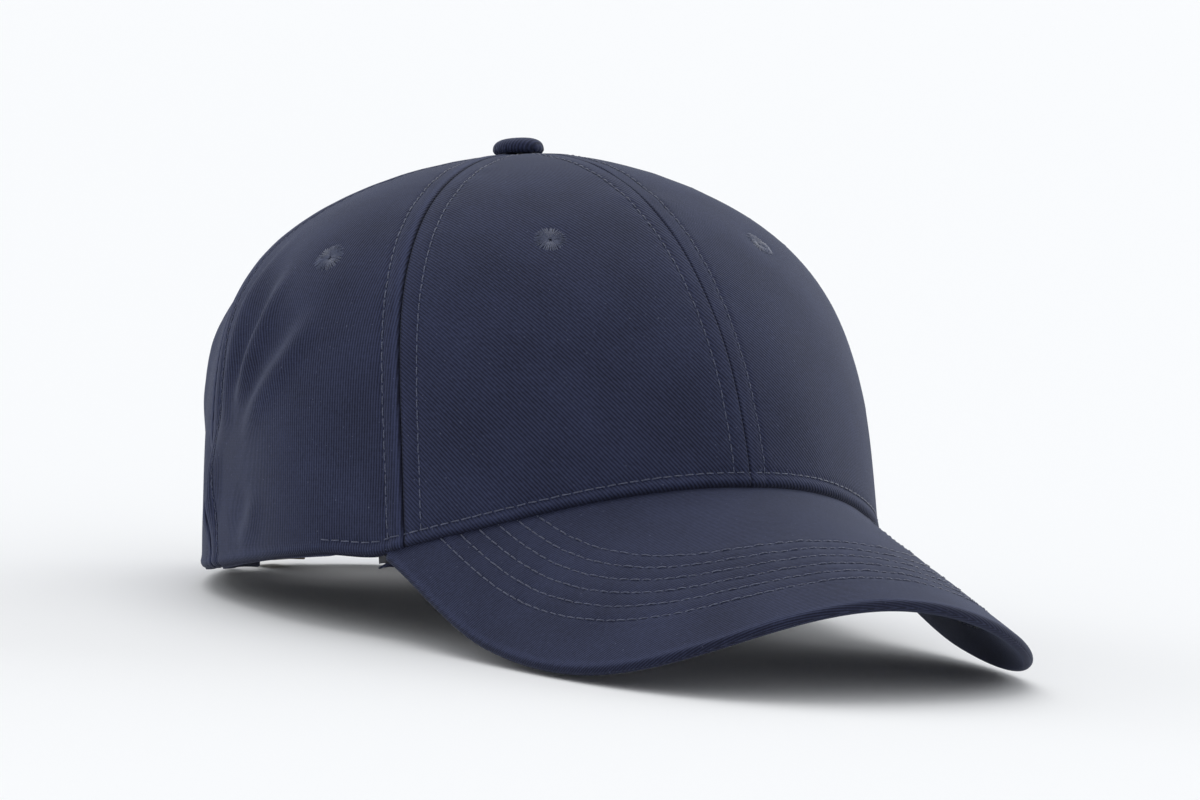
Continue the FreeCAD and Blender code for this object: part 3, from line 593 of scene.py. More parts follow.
def twill(name, deep, pale, slant, pitch=0.75, yarn=0.42, depth=0.7, sheen=0.16, wear_and_shade=0.35, source="grain"):
    """A dyed twill: slant is the ribs' direction in degrees from the width of the cloth, sizes in millimetres."""
    material, tree, shader = new_material(name, 0.82, sheen, specular=0.25)
    shader.inputs["Sheen Tint"].default_value = (0.55, 0.62, 0.85, 1)
    if source == "grain":
        place = add(tree, "ShaderNodeUVMap", uv_map="grain").outputs[0]
    else:
        place = add(tree, "ShaderNodeTexCoord").outputs["Object"]
    turned = add(tree, "ShaderNodeMapping", {"Vector": place, "Rotation": (0, 0, math.radians(90 - slant))}).outputs[0]
    rib = add(tree, "ShaderNodeTexWave", {"Vector": turned, "Scale": 314.16 / pitch, "Distortion": 0.9,
              "Detail": 2.0, "Detail Scale": 2.2, "Detail Roughness": 0.6}, bands_direction="X").outputs["Fac"]
    cross = add(tree, "ShaderNodeTexWave", {"Vector": turned, "Scale": 314.16 / yarn, "Distortion": 1.6,
                "Detail": 1.0, "Detail Scale": 1.5}, bands_direction="Y").outputs["Fac"]
    fade = add(tree, "ShaderNodeTexNoise", {"Vector": place, "Scale": 38.0, "Detail": 4.0, "Roughness": 0.6}).outputs["Fac"]
    slub = add(tree, "ShaderNodeTexNoise", {"Vector": place, "Scale": 900.0, "Detail": 2.0}).outputs["Fac"]
    lint = add(tree, "ShaderNodeTexNoise", {"Vector": place, "Scale": 1500.0, "Detail": 0.0}).outputs["Fac"]
    weave = calc(tree, "MULTIPLY_ADD", rib, 0.66, calc(tree, "MULTIPLY", cross, 0.2))
    tone = calc(tree, "ADD", weave, calc(tree, "MULTIPLY_ADD", slub, 0.55, -0.25))
    tone = calc(tree, "ADD", tone, calc(tree, "MULTIPLY_ADD", fade, 0.7, -0.36))
    # The tone stored per point: paler where an edge wears and where a raised seam lip or bead takes painted highlight;
    # negative values are painted shade in seam grooves, in the gap under the hem and round the visor's edge.
    wear_and_shade_fac = add(tree, "ShaderNodeAttribute", attribute_name="wear_and_shade").outputs["Fac"]
    tone = calc(tree, "ADD", tone, calc(tree, "MULTIPLY", wear_and_shade_fac, wear_and_shade))
    colour = blend_colours(tree, calc(tree, "MINIMUM", calc(tree, "MAXIMUM", tone, 0.0), 1.6), deep, pale)
    speck = calc(tree, "GREATER_THAN", lint, 0.84)
    colour = blend_colours(tree, calc(tree, "MULTIPLY", speck, 0.4), colour, (0.16, 0.18, 0.26))
    tree.links.new(colour, shader.inputs["Base Color"])
    height = calc(tree, "ADD", weave, calc(tree, "MULTIPLY", slub, 0.35))
    bump = add(tree, "ShaderNodeBump", {"Height": height, "Strength": depth, "Distance": 0.00018})
    tree.links.new(bump.outputs[0], shader.inputs["Normal"])
    return material


# %% Cloth finishes
NAVY_DEEP, NAVY_PALE = (0.0052, 0.0064, 0.0205), (0.038, 0.047, 0.106)
front_twill = twill("front_twill", NAVY_DEEP, NAVY_PALE, slant=-48, pitch=0.88)
side_twill = twill("side_twill", NAVY_DEEP, NAVY_PALE, slant=86, pitch=0.82)
visor_twill = twill("visor_twill", NAVY_DEEP, NAVY_PALE, slant=8, pitch=0.7, depth=0.4)
button_twill = twill("button_twill", NAVY_DEEP, NAVY_PALE, slant=20, pitch=0.8, depth=0.6, source="object")
print("finishes:", [material.name for material in bpy.data.materials])

# %% Make the crown
for side in SIDES:
    for place in PANELS:
        piece = panel(place, side)
        piece.data.materials.append(front_twill if place == "front" else side_twill)

# %% [markdown]
# ## Visor
# A moulded board lies between two cloths whose edges turn in and meet in a thin seam all round.
# Rows of stitches run parallel to the edge and press channels into the cloth. How far a
# point lies inside the edge is its inset, found by shrinking the outline until it passes through.

# %% Visor grids
VISOR_CLOTH, BOARD, EDGE_ROUND = 0.7, 1.8, 1.65
VISOR_ROWS = [15.0 + 4.6 * row for row in range(6)]
VISOR_COLUMNS = 300
UNDER_FACE = 2 * VISOR_CLOTH + BOARD + 0.1


def visor_inset(across, out):
    """How far inside the visor's edge a flat position lies."""
    low, high = np.full(np.shape(across), -2.0), np.full(np.shape(across), 90.0)
    for _ in range(30):
        middle = (low + high) / 2
        inside = (np.abs(across) / (HALF_WIDTH - middle)) ** CORNER_POWER + \
            (np.maximum(out + WIDEST_BACK, 0) / (VISOR_REACH - middle)) ** CORNER_POWER < 1
        low, high = np.where(inside, middle, low), np.where(inside, high, middle)
    return low


def even_turns(start, end, count, inset=0.0):
    """Turns of an outline that divide its length evenly."""
    fine = np.linspace(start, end, 4000)
    across, out = visor_outline(fine, inset)
    run = np.concatenate([[0], np.cumsum(np.hypot(np.diff(across), np.diff(out)))])
    return np.interp(np.linspace(0, run[-1], count), run, fine)


root_angle = np.array([ROOT_ANGLE])
root_spot = crown_point(root_angle, seam_share(root_angle, TUCK, 0.0), TUCK)
end_out = float(visor_flat(root_spot)[1][0]) + 5.0
end_turn = math.asin(max((end_out + WIDEST_BACK) / VISOR_REACH, 0) ** (CORNER_POWER / 2))
edge_turns = even_turns(math.pi - end_turn, end_turn, VISOR_COLUMNS)


def visor_lift(across, out):
    """Relief of the visor's cloth: channels along the needle rows and soft quilting between them."""
    inset = visor_inset(across, out)
    turn = np.arctan2(out + WIDEST_BACK, across) * 110
    lift = 0.05 * ripple(across / 5, out / 5, 3)
    for row in VISOR_ROWS:
        lift = lift - dent(inset - row, 0.75) * (0.22 + 0.09 * np.cos(2 * np.pi * turn / STITCH_PITCH))
    quilted = smooth((inset - VISOR_ROWS[0] + 3) / 3) * smooth((VISOR_ROWS[-1] + 3 - inset) / 3)
    return lift + quilted * (0.12 + 0.1 * ripple(turn / 2.4, inset / 9, 12))


def visor_root(depth):
    """Flat positions, column by column, where a layer tucks under the crown."""
    angle = np.linspace(-ROOT_ANGLE, ROOT_ANGLE, VISOR_COLUMNS)
    return visor_flat(crown_point(angle, seam_share(angle, TUCK, 0.0, depth), TUCK), depth)


def visor_cloth(name, face_depth, away, rows=86, wrap=12):
    """One cloth of the visor. away is -1 for the top face and 1 for the underside."""
    near_across, near_out = visor_root(face_depth)
    far_across, far_out = visor_outline(edge_turns, EDGE_ROUND)
    even = np.linspace(0, 1, rows)
    rise = 0.5 - 0.5 * np.cos(np.pi * even) * 0.35 + 0.65 * (even - 0.5)
    rise = (rise - rise[0]) / (rise[-1] - rise[0])
    across = near_across[:, None] + (far_across - near_across)[:, None] * rise
    out = near_out[:, None] + (far_out - near_out)[:, None] * rise
    lift = visor_lift(across, out)
    skins = []
    for inside in (0.0, VISOR_CLOTH):
        flat_part = visor_point(across, out, face_depth + away * (lift * (inside == 0) - inside))
        bends = np.linspace(0, math.pi / 2, wrap + 1)[1:]
        radius = EDGE_ROUND - inside
        turned = []
        for bend in bends:
            edge_across, edge_out = visor_outline(edge_turns, EDGE_ROUND - radius * math.sin(bend))
            pinch = 0.16 * dent(math.pi / 2 - bend, 0.22) * (inside == 0)
            turned.append(visor_point(edge_across * (1 - pinch / 200), edge_out - pinch * 0.3,
                                      face_depth - away * (EDGE_ROUND - radius * math.cos(bend))))
        skins.append(np.concatenate([flat_part, np.stack(turned, 1)], axis=1))
    grain_across = np.concatenate([across, np.repeat(far_across[:, None], wrap, 1)], 1)
    grain_out = np.concatenate([out, far_out[:, None] + np.arange(1, wrap + 1) * 0.22], 1)
    wrapped = np.tile(np.linspace(EDGE_ROUND, -2.2, wrap), (VISOR_COLUMNS, 1))
    edge_gap = np.concatenate([visor_inset(across, out), wrapped], 1)
    # Tone stored per point: paler with wear a little inside the edge; painted shade on the rolled edge and the
    # turned-under strip.
    wear_and_shade = 0.5 * dent(edge_gap - 2.0, 0.7) - 0.9 * smooth((1.4 - edge_gap) / 1.4)
    piece = cloth(name, *skins, np.stack([grain_across, grain_out], -1), {"wear_and_shade": wear_and_shade})
    piece.data.materials.append(visor_twill)
    return piece


visor_cloth("visor_top", 0.0, -1)
visor_cloth("visor_under", UNDER_FACE, 1)
print("visor rows inside the edge:", VISOR_ROWS)


# %% [markdown]
# ## Stitches
# Thousands of equal stitches are work for Geometry Nodes. A row is drawn as a plain line of
# edges that also stores which way is up off the cloth. The tree divides each line by the stitch
# pitch, puts one small arched thread on each division, varies it a little, and makes it all real.

# %% Stitch tree
def tree_with(name, inputs):
    """A node tree with a geometry input and output and named inputs with defaults."""
    tree = bpy.data.node_groups.new(name, "GeometryNodeTree")
    tree.interface.new_socket("Geometry", in_out="INPUT", socket_type="NodeSocketGeometry")
    for label, kind, value in inputs:
        socket = tree.interface.new_socket(label, in_out="INPUT", socket_type=f"NodeSocket{kind}")
        if value is not None:
            socket.default_value = value
    tree.interface.new_socket("Geometry", in_out="OUTPUT", socket_type="NodeSocketGeometry")
    return tree, tree.nodes.new("NodeGroupInput").outputs, tree.nodes.new("NodeGroupOutput").inputs


def stored_up(tree):
    """The direction off the cloth that a line's points carry."""
    return add(tree, "GeometryNodeInputNamedAttribute", {"Name": "up"}, data_type="FLOAT_VECTOR").outputs[0]


def finish_tree(tree, copies, given, wanted):
    """Makes the copies real, gives them the thread and sends them out."""
    solid = add(tree, "GeometryNodeRealizeInstances", {"Geometry": copies}).outputs[0]
    coloured = add(tree, "GeometryNodeSetMaterial", {"Geometry": solid, "Material": given["Thread"]}).outputs[0]
    tree.links.new(coloured, wanted["Geometry"])


def thread_shape(tree, length, thickness, arch, sides=5, steps=5):
    """A short arched thread along X, centred on the origin."""
    def vector(x, z):
        return add(tree, "ShaderNodeCombineXYZ", {"X": x, "Y": 0.0, "Z": z}).outputs[0]
    half = calc(tree, "MULTIPLY", length, 0.5)
    sunk = calc(tree, "MULTIPLY", arch, -0.35)
    bend = add(tree, "GeometryNodeCurveQuadraticBezier", {"Resolution": steps,
               "Start": vector(calc(tree, "MULTIPLY", half, -1.0), sunk), "Middle": vector(0.0, arch),
               "End": vector(half, sunk)}).outputs[0]
    section = add(tree, "GeometryNodeCurvePrimitiveCircle",
                  {"Resolution": sides, "Radius": calc(tree, "MULTIPLY", thickness, 0.5)}).outputs[0]
    return add(tree, "GeometryNodeCurveToMesh", {"Curve": bend, "Profile Curve": section, "Fill Caps": True}).outputs[0]


def uneven(tree, low, high, seed, shift, kind="FLOAT"):
    """A random field with a fixed seed."""
    number = add(tree, "FunctionNodeRandomValue", data_type=kind)
    live = [socket for socket in number.inputs if socket.enabled]
    live[0].default_value, live[1].default_value = low, high
    tree.links.new(calc(tree, "ADD", seed, float(shift)), [s for s in number.inputs if s.name == "Seed"][0])
    return [socket for socket in number.outputs if socket.enabled][0]


stitch_tree, given, wanted = tree_with("stitch_rows", [
    ("Pitch", "Float", 0.003), ("Length", "Float", 0.0024), ("Thickness", "Float", 0.0004),
    ("Arch", "Float", 0.0004), ("Seed", "Int", 0), ("Thread", "Material", None)])
lines = add(stitch_tree, "GeometryNodeMeshToCurve", {"Mesh": given["Geometry"]}).outputs[0]
places = add(stitch_tree, "GeometryNodeResampleCurve", {"Curve": lines, "Length": given["Pitch"]}, mode="LENGTH").outputs[0]
up = stored_up(stitch_tree)
tangent = stitch_tree.nodes.new("GeometryNodeInputTangent").outputs[0]
swing = uneven(stitch_tree, (-0.07,) * 3, (0.07,) * 3, given["Seed"], 1, "FLOAT_VECTOR")
lean = add(stitch_tree, "ShaderNodeVectorMath", {0: tangent, 1: swing}, operation="ADD").outputs[0]
turn = add(stitch_tree, "FunctionNodeAxesToRotation", {"Primary Axis": lean, "Secondary Axis": up},
           primary_axis="X", secondary_axis="Z").outputs[0]
grow = add(stitch_tree, "ShaderNodeCombineXYZ", {"X": uneven(stitch_tree, 0.88, 1.06, given["Seed"], 2), "Y": 1.0,
           "Z": uneven(stitch_tree, 0.8, 1.15, given["Seed"], 3)}).outputs[0]
stitch = thread_shape(stitch_tree, given["Length"], given["Thickness"], given["Arch"])
copies = add(stitch_tree, "GeometryNodeInstanceOnPoints", {"Points": places, "Instance": stitch,
             "Rotation": turn, "Scale": grow}).outputs[0]
finish_tree(stitch_tree, copies, given, wanted)
print("stitch tree nodes:", len(stitch_tree.nodes))


# %% Thread finish and conversion
def thread(name, deep, pale, sheen=0.5):
    """Lustrous twisted thread."""
    material, tree, shader = new_material(name, 0.5, sheen, specular=0.4)
    place = add(tree, "ShaderNodeTexCoord").outputs["Object"]
    ply = add(tree, "ShaderNodeTexWave", {"Vector": place, "Scale": 700.0, "Distortion": 3.0}, bands_direction="DIAGONAL")
    tint = add(tree, "ShaderNodeTexNoise", {"Vector": place, "Scale": 350.0, "Detail": 2.0}).outputs["Fac"]
    mixed = calc(tree, "MULTIPLY_ADD", ply.outputs["Fac"], 0.4, calc(tree, "MULTIPLY", tint, 0.7))
    tree.links.new(blend_colours(tree, mixed, deep, pale), shader.inputs["Base Color"])
    bump = add(tree, "ShaderNodeBump", {"Height": ply.outputs["Fac"], "Strength": 0.4, "Distance": 0.0001})
    tree.links.new(bump.outputs[0], shader.inputs["Normal"])
    return material


topstitch_thread = thread("topstitch_thread", (0.026, 0.031, 0.066), (0.098, 0.115, 0.195), 0.3)
eyelet_thread = thread("eyelet_thread", (0.016, 0.020, 0.046), (0.10, 0.12, 0.21), 0.3)


def line_piece(name, rows):
    """Lines of edges from (points, upward directions) pairs in the wearing frame."""
    points = np.concatenate([row[0] for row in rows])
    ups = np.concatenate([row[1] for row in rows]) @ stand_turn.T
    edges, first = [], 0
    for row, _ in rows:
        edges += [(first + step, first + step + 1) for step in range(len(row) - 1)]
        first += len(row)
    mesh = bpy.data.meshes.new(name)
    mesh.from_pydata(stand(points).tolist(), edges, [])
    mesh.attributes.new("up", "FLOAT_VECTOR", "POINT").data.foreach_set("vector", ups.astype(np.float32).ravel())
    piece = bpy.data.objects.new(name, mesh)
    scene.collection.objects.link(piece)
    made[name] = piece
    return piece


def grown(piece, tree, **values):
    """Runs a tree on a piece and keeps the result as its plain mesh."""
    modifier = piece.modifiers.new(tree.name, "NODES")
    modifier.node_group = tree
    for item in tree.interface.items_tree:
        if item.item_type == "SOCKET" and item.in_out == "INPUT" and item.name.replace(" ", "_").lower() in values:
            modifier[item.identifier] = values[item.name.replace(" ", "_").lower()]
    bpy.context.view_layer.update()
    mesh = bpy.data.meshes.new_from_object(piece.evaluated_get(bpy.context.evaluated_depsgraph_get()))
    piece.modifiers.remove(modifier)
    piece.data = mesh
    mesh.polygons.foreach_set("use_smooth", [True] * len(mesh.polygons))
    print(piece.name, "has", len(mesh.polygons), "faces")
    return piece


# %% Needle rows of the crown
def seam_rows(seam, place, side, low_above=HEM_ROW + 0.6):
    """A needle row beside a seam, on one panel."""
    start, end = PANELS[place]
    climb = np.linspace(1.0, 0.03, 900)
    way = 1 if seam == start else -1
    bearing = seam + way * np.degrees(needle_row(seam, climb, end - start) / plan_radius(seam, climb))
    height = (1 - climb ** 2) * CROWN_RISE
    keep = (height - rim_height(bearing) > low_above) & (plan_radius(seam, climb) > 6.4)
    if seam == 180.0:
        keep &= arch_gap(crown_skin(bearing, climb)) > ARCH_ROW + 0.8
    bearing, climb = bearing[keep], climb[keep]
    return crown_face(place, side, bearing, climb, 0.12)


crown_rows = []
for side in SIDES:
    for place, seam in SEAM_PUFF:
        crown_rows.append(seam_rows(seam, place, side))
    for place in ("front", "side"):
        start, end = PANELS[place]
        bearing = np.linspace(start, min(end, HEM_END), 260)
        climb = climb_at((rim_height(bearing) + HEM_ROW) / CROWN_RISE)
        crown_rows.append(crown_face(place, side, bearing, climb, 0.12))
    leg_up = np.linspace(14.5, ARCH_RISE, 12)[:-1]
    turn = np.linspace(0, np.pi / 2, 110)
    arch_reach = ARCH_HALF + ARCH_ROW
    across = np.concatenate([np.full(11, arch_reach), arch_reach * np.cos(turn)])
    up_line = np.concatenate([leg_up, ARCH_RISE + arch_reach * np.sin(turn)])
    bearing, climb = crown_at(across, up_line)
    crown_rows.append(crown_face("back", side, bearing, climb, 0.12))
grown(line_piece("crown_stitches", crown_rows), stitch_tree, pitch=0.003, length=0.0024, thickness=0.00036,
      arch=0.00034, seed=11, thread=topstitch_thread)


# %% Needle rows of the visor
def visor_row(inset, depth, away):
    """A row on the top or under face, cut where it meets the crown."""
    turn = np.linspace(0.02, math.pi - 0.02, 1400)
    across, out = visor_outline(turn, inset)
    root_across, root_out = visor_root(depth)
    keep = out > np.interp(across, root_across, root_out, left=end_out, right=end_out) + 1.2
    across, out = across[keep], out[keep]
    spots = visor_point(across, out, depth + away * (visor_lift(across, out) + 0.12))
    ups = unit(visor_point(across, out, depth + away * 1.0) - visor_point(across, out, depth))
    return spots, ups


visor_rows = [visor_row(inset, 0.0, -1) for inset in VISOR_ROWS]
under_rows = [visor_row(inset, UNDER_FACE, 1) for inset in VISOR_ROWS]
grown(line_piece("visor_stitches", visor_rows + under_rows), stitch_tree, pitch=0.0031, length=0.0026,
      thickness=0.00036, arch=0.00034, seed=23, thread=topstitch_thread)

# %% [markdown]
# ## Eyelets
# A worked eyelet is a ring of thread strands that run from a small hole outwards, as they were
# sewn. The tree lays the strands round a circle with uneven lengths, over a low padded ring, and adds
# the short sleeve of thread through the cloth. Two points, outside and inside, carry one each.

# %% Eyelet tree
eyelet_tree, given, wanted = tree_with("worked_eyelet", [
    ("Strands", "Int", 40), ("Hole", "Float", 0.0005), ("Reach", "Float", 0.00475), ("Thickness", "Float", 0.00034),
    ("Sleeve", "Float", 0.0015), ("Seed", "Int", 0), ("Thread", "Material", None)])
span = calc(eyelet_tree, "SUBTRACT", given["Reach"], given["Hole"])
mid_reach = calc(eyelet_tree, "MULTIPLY_ADD", span, 0.5, given["Hole"])
ring = add(eyelet_tree, "GeometryNodeMeshCircle", {"Vertices": given["Strands"], "Radius": mid_reach}).outputs[0]
spot_now = eyelet_tree.nodes.new("GeometryNodeInputPosition").outputs[0]
skew = uneven(eyelet_tree, (-0.12,) * 3, (0.12,) * 3, given["Seed"], 5, "FLOAT_VECTOR")
outward = add(eyelet_tree, "ShaderNodeVectorMath", {0: spot_now}, operation="NORMALIZE").outputs[0]
outward = add(eyelet_tree, "ShaderNodeVectorMath", {0: outward, 1: skew}, operation="ADD").outputs[0]
facing = add(eyelet_tree, "FunctionNodeAxesToRotation", {"Primary Axis": (0, 0, 1), "Secondary Axis": outward},
             primary_axis="Z", secondary_axis="X").outputs[0]
strand = thread_shape(eyelet_tree, span, given["Thickness"], 0.00055, 4, 5)
stretch = add(eyelet_tree, "ShaderNodeCombineXYZ", {"X": uneven(eyelet_tree, 0.82, 1.1, given["Seed"], 6), "Y": 1.0,
              "Z": uneven(eyelet_tree, 0.8, 1.25, given["Seed"], 7)}).outputs[0]
strands = add(eyelet_tree, "GeometryNodeInstanceOnPoints", {"Points": ring, "Instance": strand, "Rotation": facing,
              "Scale": stretch}).outputs[0]


def ring_of(tree, radius, thick, tall, drop):
    """A smooth ring with an oval section."""
    circle = add(tree, "GeometryNodeCurvePrimitiveCircle", {"Resolution": 40, "Radius": radius}).outputs[0]
    oval = add(tree, "GeometryNodeCurvePrimitiveCircle", {"Resolution": 8, "Radius": 0.5}).outputs[0]
    size = add(tree, "ShaderNodeCombineXYZ", {"X": thick, "Y": tall, "Z": 1.0}).outputs[0]
    oval = add(tree, "GeometryNodeTransform", {"Geometry": oval, "Scale": size}).outputs[0]
    band = add(tree, "GeometryNodeCurveToMesh", {"Curve": circle, "Profile Curve": oval}).outputs[0]
    down = add(tree, "ShaderNodeCombineXYZ", {"X": 0.0, "Y": 0.0, "Z": drop}).outputs[0]
    return add(tree, "GeometryNodeTransform", {"Geometry": band, "Translation": down}).outputs[0]


pad_ring = ring_of(eyelet_tree, mid_reach, calc(eyelet_tree, "MULTIPLY", span, 0.66), 0.00026, -0.00016)
sleeve = ring_of(eyelet_tree, calc(eyelet_tree, "ADD", given["Hole"], 0.00035), 0.0005, given["Sleeve"],
                 calc(eyelet_tree, "MULTIPLY", given["Sleeve"], -0.42))
whole = eyelet_tree.nodes.new("GeometryNodeJoinGeometry")
for part in (strands, pad_ring, sleeve):
    eyelet_tree.links.new(part, whole.inputs[0])
up = stored_up(eyelet_tree)
facing = add(eyelet_tree, "FunctionNodeAxesToRotation", {"Primary Axis": up, "Secondary Axis": (0.3, 0.1, 1.0)},
             primary_axis="Z", secondary_axis="X").outputs[0]
copies = add(eyelet_tree, "GeometryNodeInstanceOnPoints", {"Points": given["Geometry"], "Instance": whole.outputs[0],
             "Rotation": facing}).outputs[0]
finish_tree(eyelet_tree, copies, given, wanted)

for side in SIDES:
    for place, (angle, share, grip) in EYELETS.items():
        point, away = crown_face(place, side, np.array([angle]), climb_at(np.array([share])), 0.16)
        inside = point - away * (grip + 0.5)
        piece = line_piece(f"eyelet_{place}_{side}_thread", [(point, away), (inside, -away)])
        grown(piece, eyelet_tree, strands=40, hole=0.0005, reach=0.0048, thickness=0.00042,
              sleeve=grip / 1000 * 0.7 + 0.0006, seed=len(made), thread=eyelet_thread)

# %% [markdown]
# ## Button
# The button is a metal shell covered with the crown's own twill, drawn in underneath. A profile is
# turned about the apex; small gathers appear where the cloth is pulled over the shell's edge.

# %% Covered button
BUTTON_RADIUS, BUTTON_HALF, BUTTON_MIDDLE = 7.0, 3.3, 1.7
around, along = 160, 44
turn = np.linspace(0, 2 * np.pi, around + 1)[:-1]
swing = np.linspace(0.004, 1.0, along) * math.radians(128)
radius = BUTTON_RADIUS * np.sin(np.minimum(swing, np.pi / 2)) ** (2 / 2.5)
rise = BUTTON_HALF * np.cos(np.minimum(swing, np.pi / 2)) ** (2 / 2.5)
under = swing > np.pi / 2
radius = np.where(under, BUTTON_RADIUS - 1.7 * (1 - np.cos(swing - np.pi / 2)) * 2.2, radius)
rise = np.where(under, -1.9 * np.sin(swing - np.pi / 2), rise)
gather = smooth((swing - 1.2) / 0.7)[None, :] * 0.1 * (np.sin(turn * 22) + 0.6 * np.sin(turn * 13 + 1))[:, None]
dimple = 0.1 * ripple(radius[None, :] * np.cos(turn)[:, None] / 2.4, radius[None, :] * np.sin(turn)[:, None] / 2.4, 9)


def button_skin(shrink):
    reach = radius[None, :] + gather - shrink * np.sin(np.minimum(swing, np.pi / 2))[None, :]
    level = rise[None, :] + dimple * np.cos(np.minimum(swing, np.pi / 2))[None, :] - shrink * np.cos(swing)[None, :]
    return np.stack([reach * np.sin(turn)[:, None], APEX_BACK + reach * np.cos(turn)[:, None],
                     level + BUTTON_MIDDLE + CROWN_RISE], -1)


def turned_shell(name, outer, inner):
    """A closed shell turned about an axis, open at its foot, with its poles closed."""
    columns, rows = outer.shape[:2]
    count = columns * rows
    points = np.concatenate([outer.reshape(-1, 3), inner.reshape(-1, 3), [outer[:, 0].mean(0)], [inner[:, 0].mean(0)]])
    faces = []
    for column in range(columns):
        after = (column + 1) % columns
        for row in range(rows - 1):
            a, b, c, d = (column * rows + row, after * rows + row, after * rows + row + 1, column * rows + row + 1)
            faces += [(a, d, c, b), (a + count, b + count, c + count, d + count)]
        foot, foot_after = column * rows + rows - 1, after * rows + rows - 1
        faces.append((foot, foot + count, foot_after + count, foot_after))
        faces += [(column * rows, after * rows, 2 * count), (after * rows + count, column * rows + count, 2 * count + 1)]
    return mesh_piece(name, points, faces)


button = turned_shell("button_cloth", button_skin(0.0), button_skin(0.65))
button.data.materials.append(button_twill)
button_profile = np.stack([radius, rise], 1)

# %% [markdown]
# ## Sweatband, tapes and lining
# Inside the cap, tapes cover the raw seams, buckram stiffens the two front panels and a folded
# band of softer cloth runs round the head. They are seen from below and through the arch, so they have
# their own weave, turned edges and rows of stitches.

# %% Inner cloths
band_twill = twill("band_twill", (0.016, 0.018, 0.042), (0.052, 0.058, 0.11), slant=40, pitch=0.6, sheen=0.25)
tape_weave = twill("tape_weave", (0.026, 0.030, 0.062), (0.075, 0.085, 0.15), slant=90, pitch=0.9, yarn=0.9, wear_and_shade=0.2)
buckram_weave = twill("buckram_weave", (0.012, 0.012, 0.015), (0.06, 0.06, 0.068), slant=90, pitch=1.1, yarn=1.1,
                      depth=0.9, sheen=0.05, wear_and_shade=0.1)
label_satin = twill("label_satin", (0.55, 0.55, 0.53), (0.80, 0.80, 0.77), slant=0, pitch=0.5, yarn=0.5, sheen=0.2,
                    wear_and_shade=0.05)
BAND_DEPTH, BAND_TUCK, BAND_THICK, BAND_TALL, BAND_END = 2.7, 5.2, 1.2, 34.0, 156.0
BAND_RADIUS, BAND_ROWS = 88, (4.0, 30.5)


def band_depth(angle):
    return BAND_DEPTH + BAND_TUCK * smooth((np.abs(angle) - BACK_SEAM) / 22)


def band_spot(angle, row, depth):
    """Point of the sweatband: row is a share of its height."""
    inner = band_depth(angle) + depth
    low = rim_share(angle, BAND_DEPTH + 0 * angle, -2.0 * np.maximum(np.cos(np.radians(angle)), 0))
    return crown_point(angle, low + row * BAND_TALL / CROWN_RISE, inner)


def band_relief(angle, row):
    """Thickness taken off or added on the sweatband's inner face."""
    above, run = row * BAND_TALL, np.radians(angle) * BAND_RADIUS
    lift = 0.22 * ripple(run / 9, above / 7, 41) - 0.28 * dent(above - 4, 0.8) - 0.24 * dent(above - 30.5, 0.8)
    lift = lift - turned_edge(above, 0.6) - turned_edge(BAND_TALL - above, 0.5)
    near_rows = dent(above - 4, 3.0) + dent(above - 30.5, 3.0)
    return lift + 0.12 * ripple(run / 1.8, above / 3, 6) * near_rows


columns = np.linspace(-BAND_END, BAND_END, 420)[:, None]
rows = spaced(44, 0.4)[None, :]
angle, row = np.broadcast_arrays(columns, rows)
outside = band_spot(angle, row, 0.5 * (turned_edge(row * BAND_TALL, 0.5) + turned_edge((1 - row) * BAND_TALL, 0.5)))
inside = band_spot(angle, row, BAND_THICK + band_relief(angle, row))
band = cloth("sweatband_cloth", outside, inside, np.stack([np.radians(angle) * BAND_RADIUS, row * BAND_TALL], -1),
             {"wear_and_shade": dent((1 - row) * BAND_TALL, 1.5) + dent(row * BAND_TALL, 1.2)})
band.data.materials.append(band_twill)


def band_row(above):
    angle = np.linspace(-BAND_END + 2, BAND_END - 2, 900)
    row = np.full(900, above / BAND_TALL)
    spots = band_spot(angle, row, BAND_THICK + band_relief(angle, row) + 0.12)
    return spots, unit(band_spot(angle, row, 3.0) - band_spot(angle, row, 1.0))


grown(line_piece("band_stitches", [band_row(above) for above in BAND_ROWS]), stitch_tree, pitch=0.003, length=0.0024,
      thickness=0.00036, arch=0.00034, seed=31, thread=topstitch_thread)


# %% Seam tapes, buckram, arch binding and blank label
def climb_line(low, top_radius, angle, count):
    return np.linspace(float(climb_at(low)), float(climb_at_radius(np.array(angle), top_radius)), count)


def soft_depth(angle, climb, depth):
    """Point at a depth under the crown that follows the folds of the soft panels."""
    bearing, side = np.abs(angle), "left" if np.mean(angle) > 0 else "right"
    fold = np.where(bearing > FRONT_SEAM, slouch(bearing, climb, side), 0.0)
    return crown_skin(angle, climb) + crown_normal(angle, climb) * (fold - depth)[..., None]


def seam_tape(name, seam, low, depth, wide=8.0, count=150):
    """A woven tape over a seam, with a dent under each needle row."""
    climb, across = np.broadcast_arrays(climb_line(low, 9.0, seam, count)[None, :], np.linspace(-0.5, 0.5, 25)[:, None])
    angle = seam + np.degrees(across * wide / plan_radius(seam, climb))
    run, edge = seam_run(abs(seam), climb), (0.5 - np.abs(across)) * wide
    puff = 0.16 * ripple(run / 2.2, across * 3, 250 + int(seam)) - 0.2 * dent(edge - 1.0, 0.6) - turned_edge(edge, 0.25)
    piece = cloth(name, soft_depth(angle, climb, depth), soft_depth(angle, climb, depth + 0.5 + np.maximum(puff, -0.3)),
                  np.stack([across * wide, run], -1), {"wear_and_shade": dent(edge, 0.7)})
    piece.data.materials.append(tape_weave)
    return piece


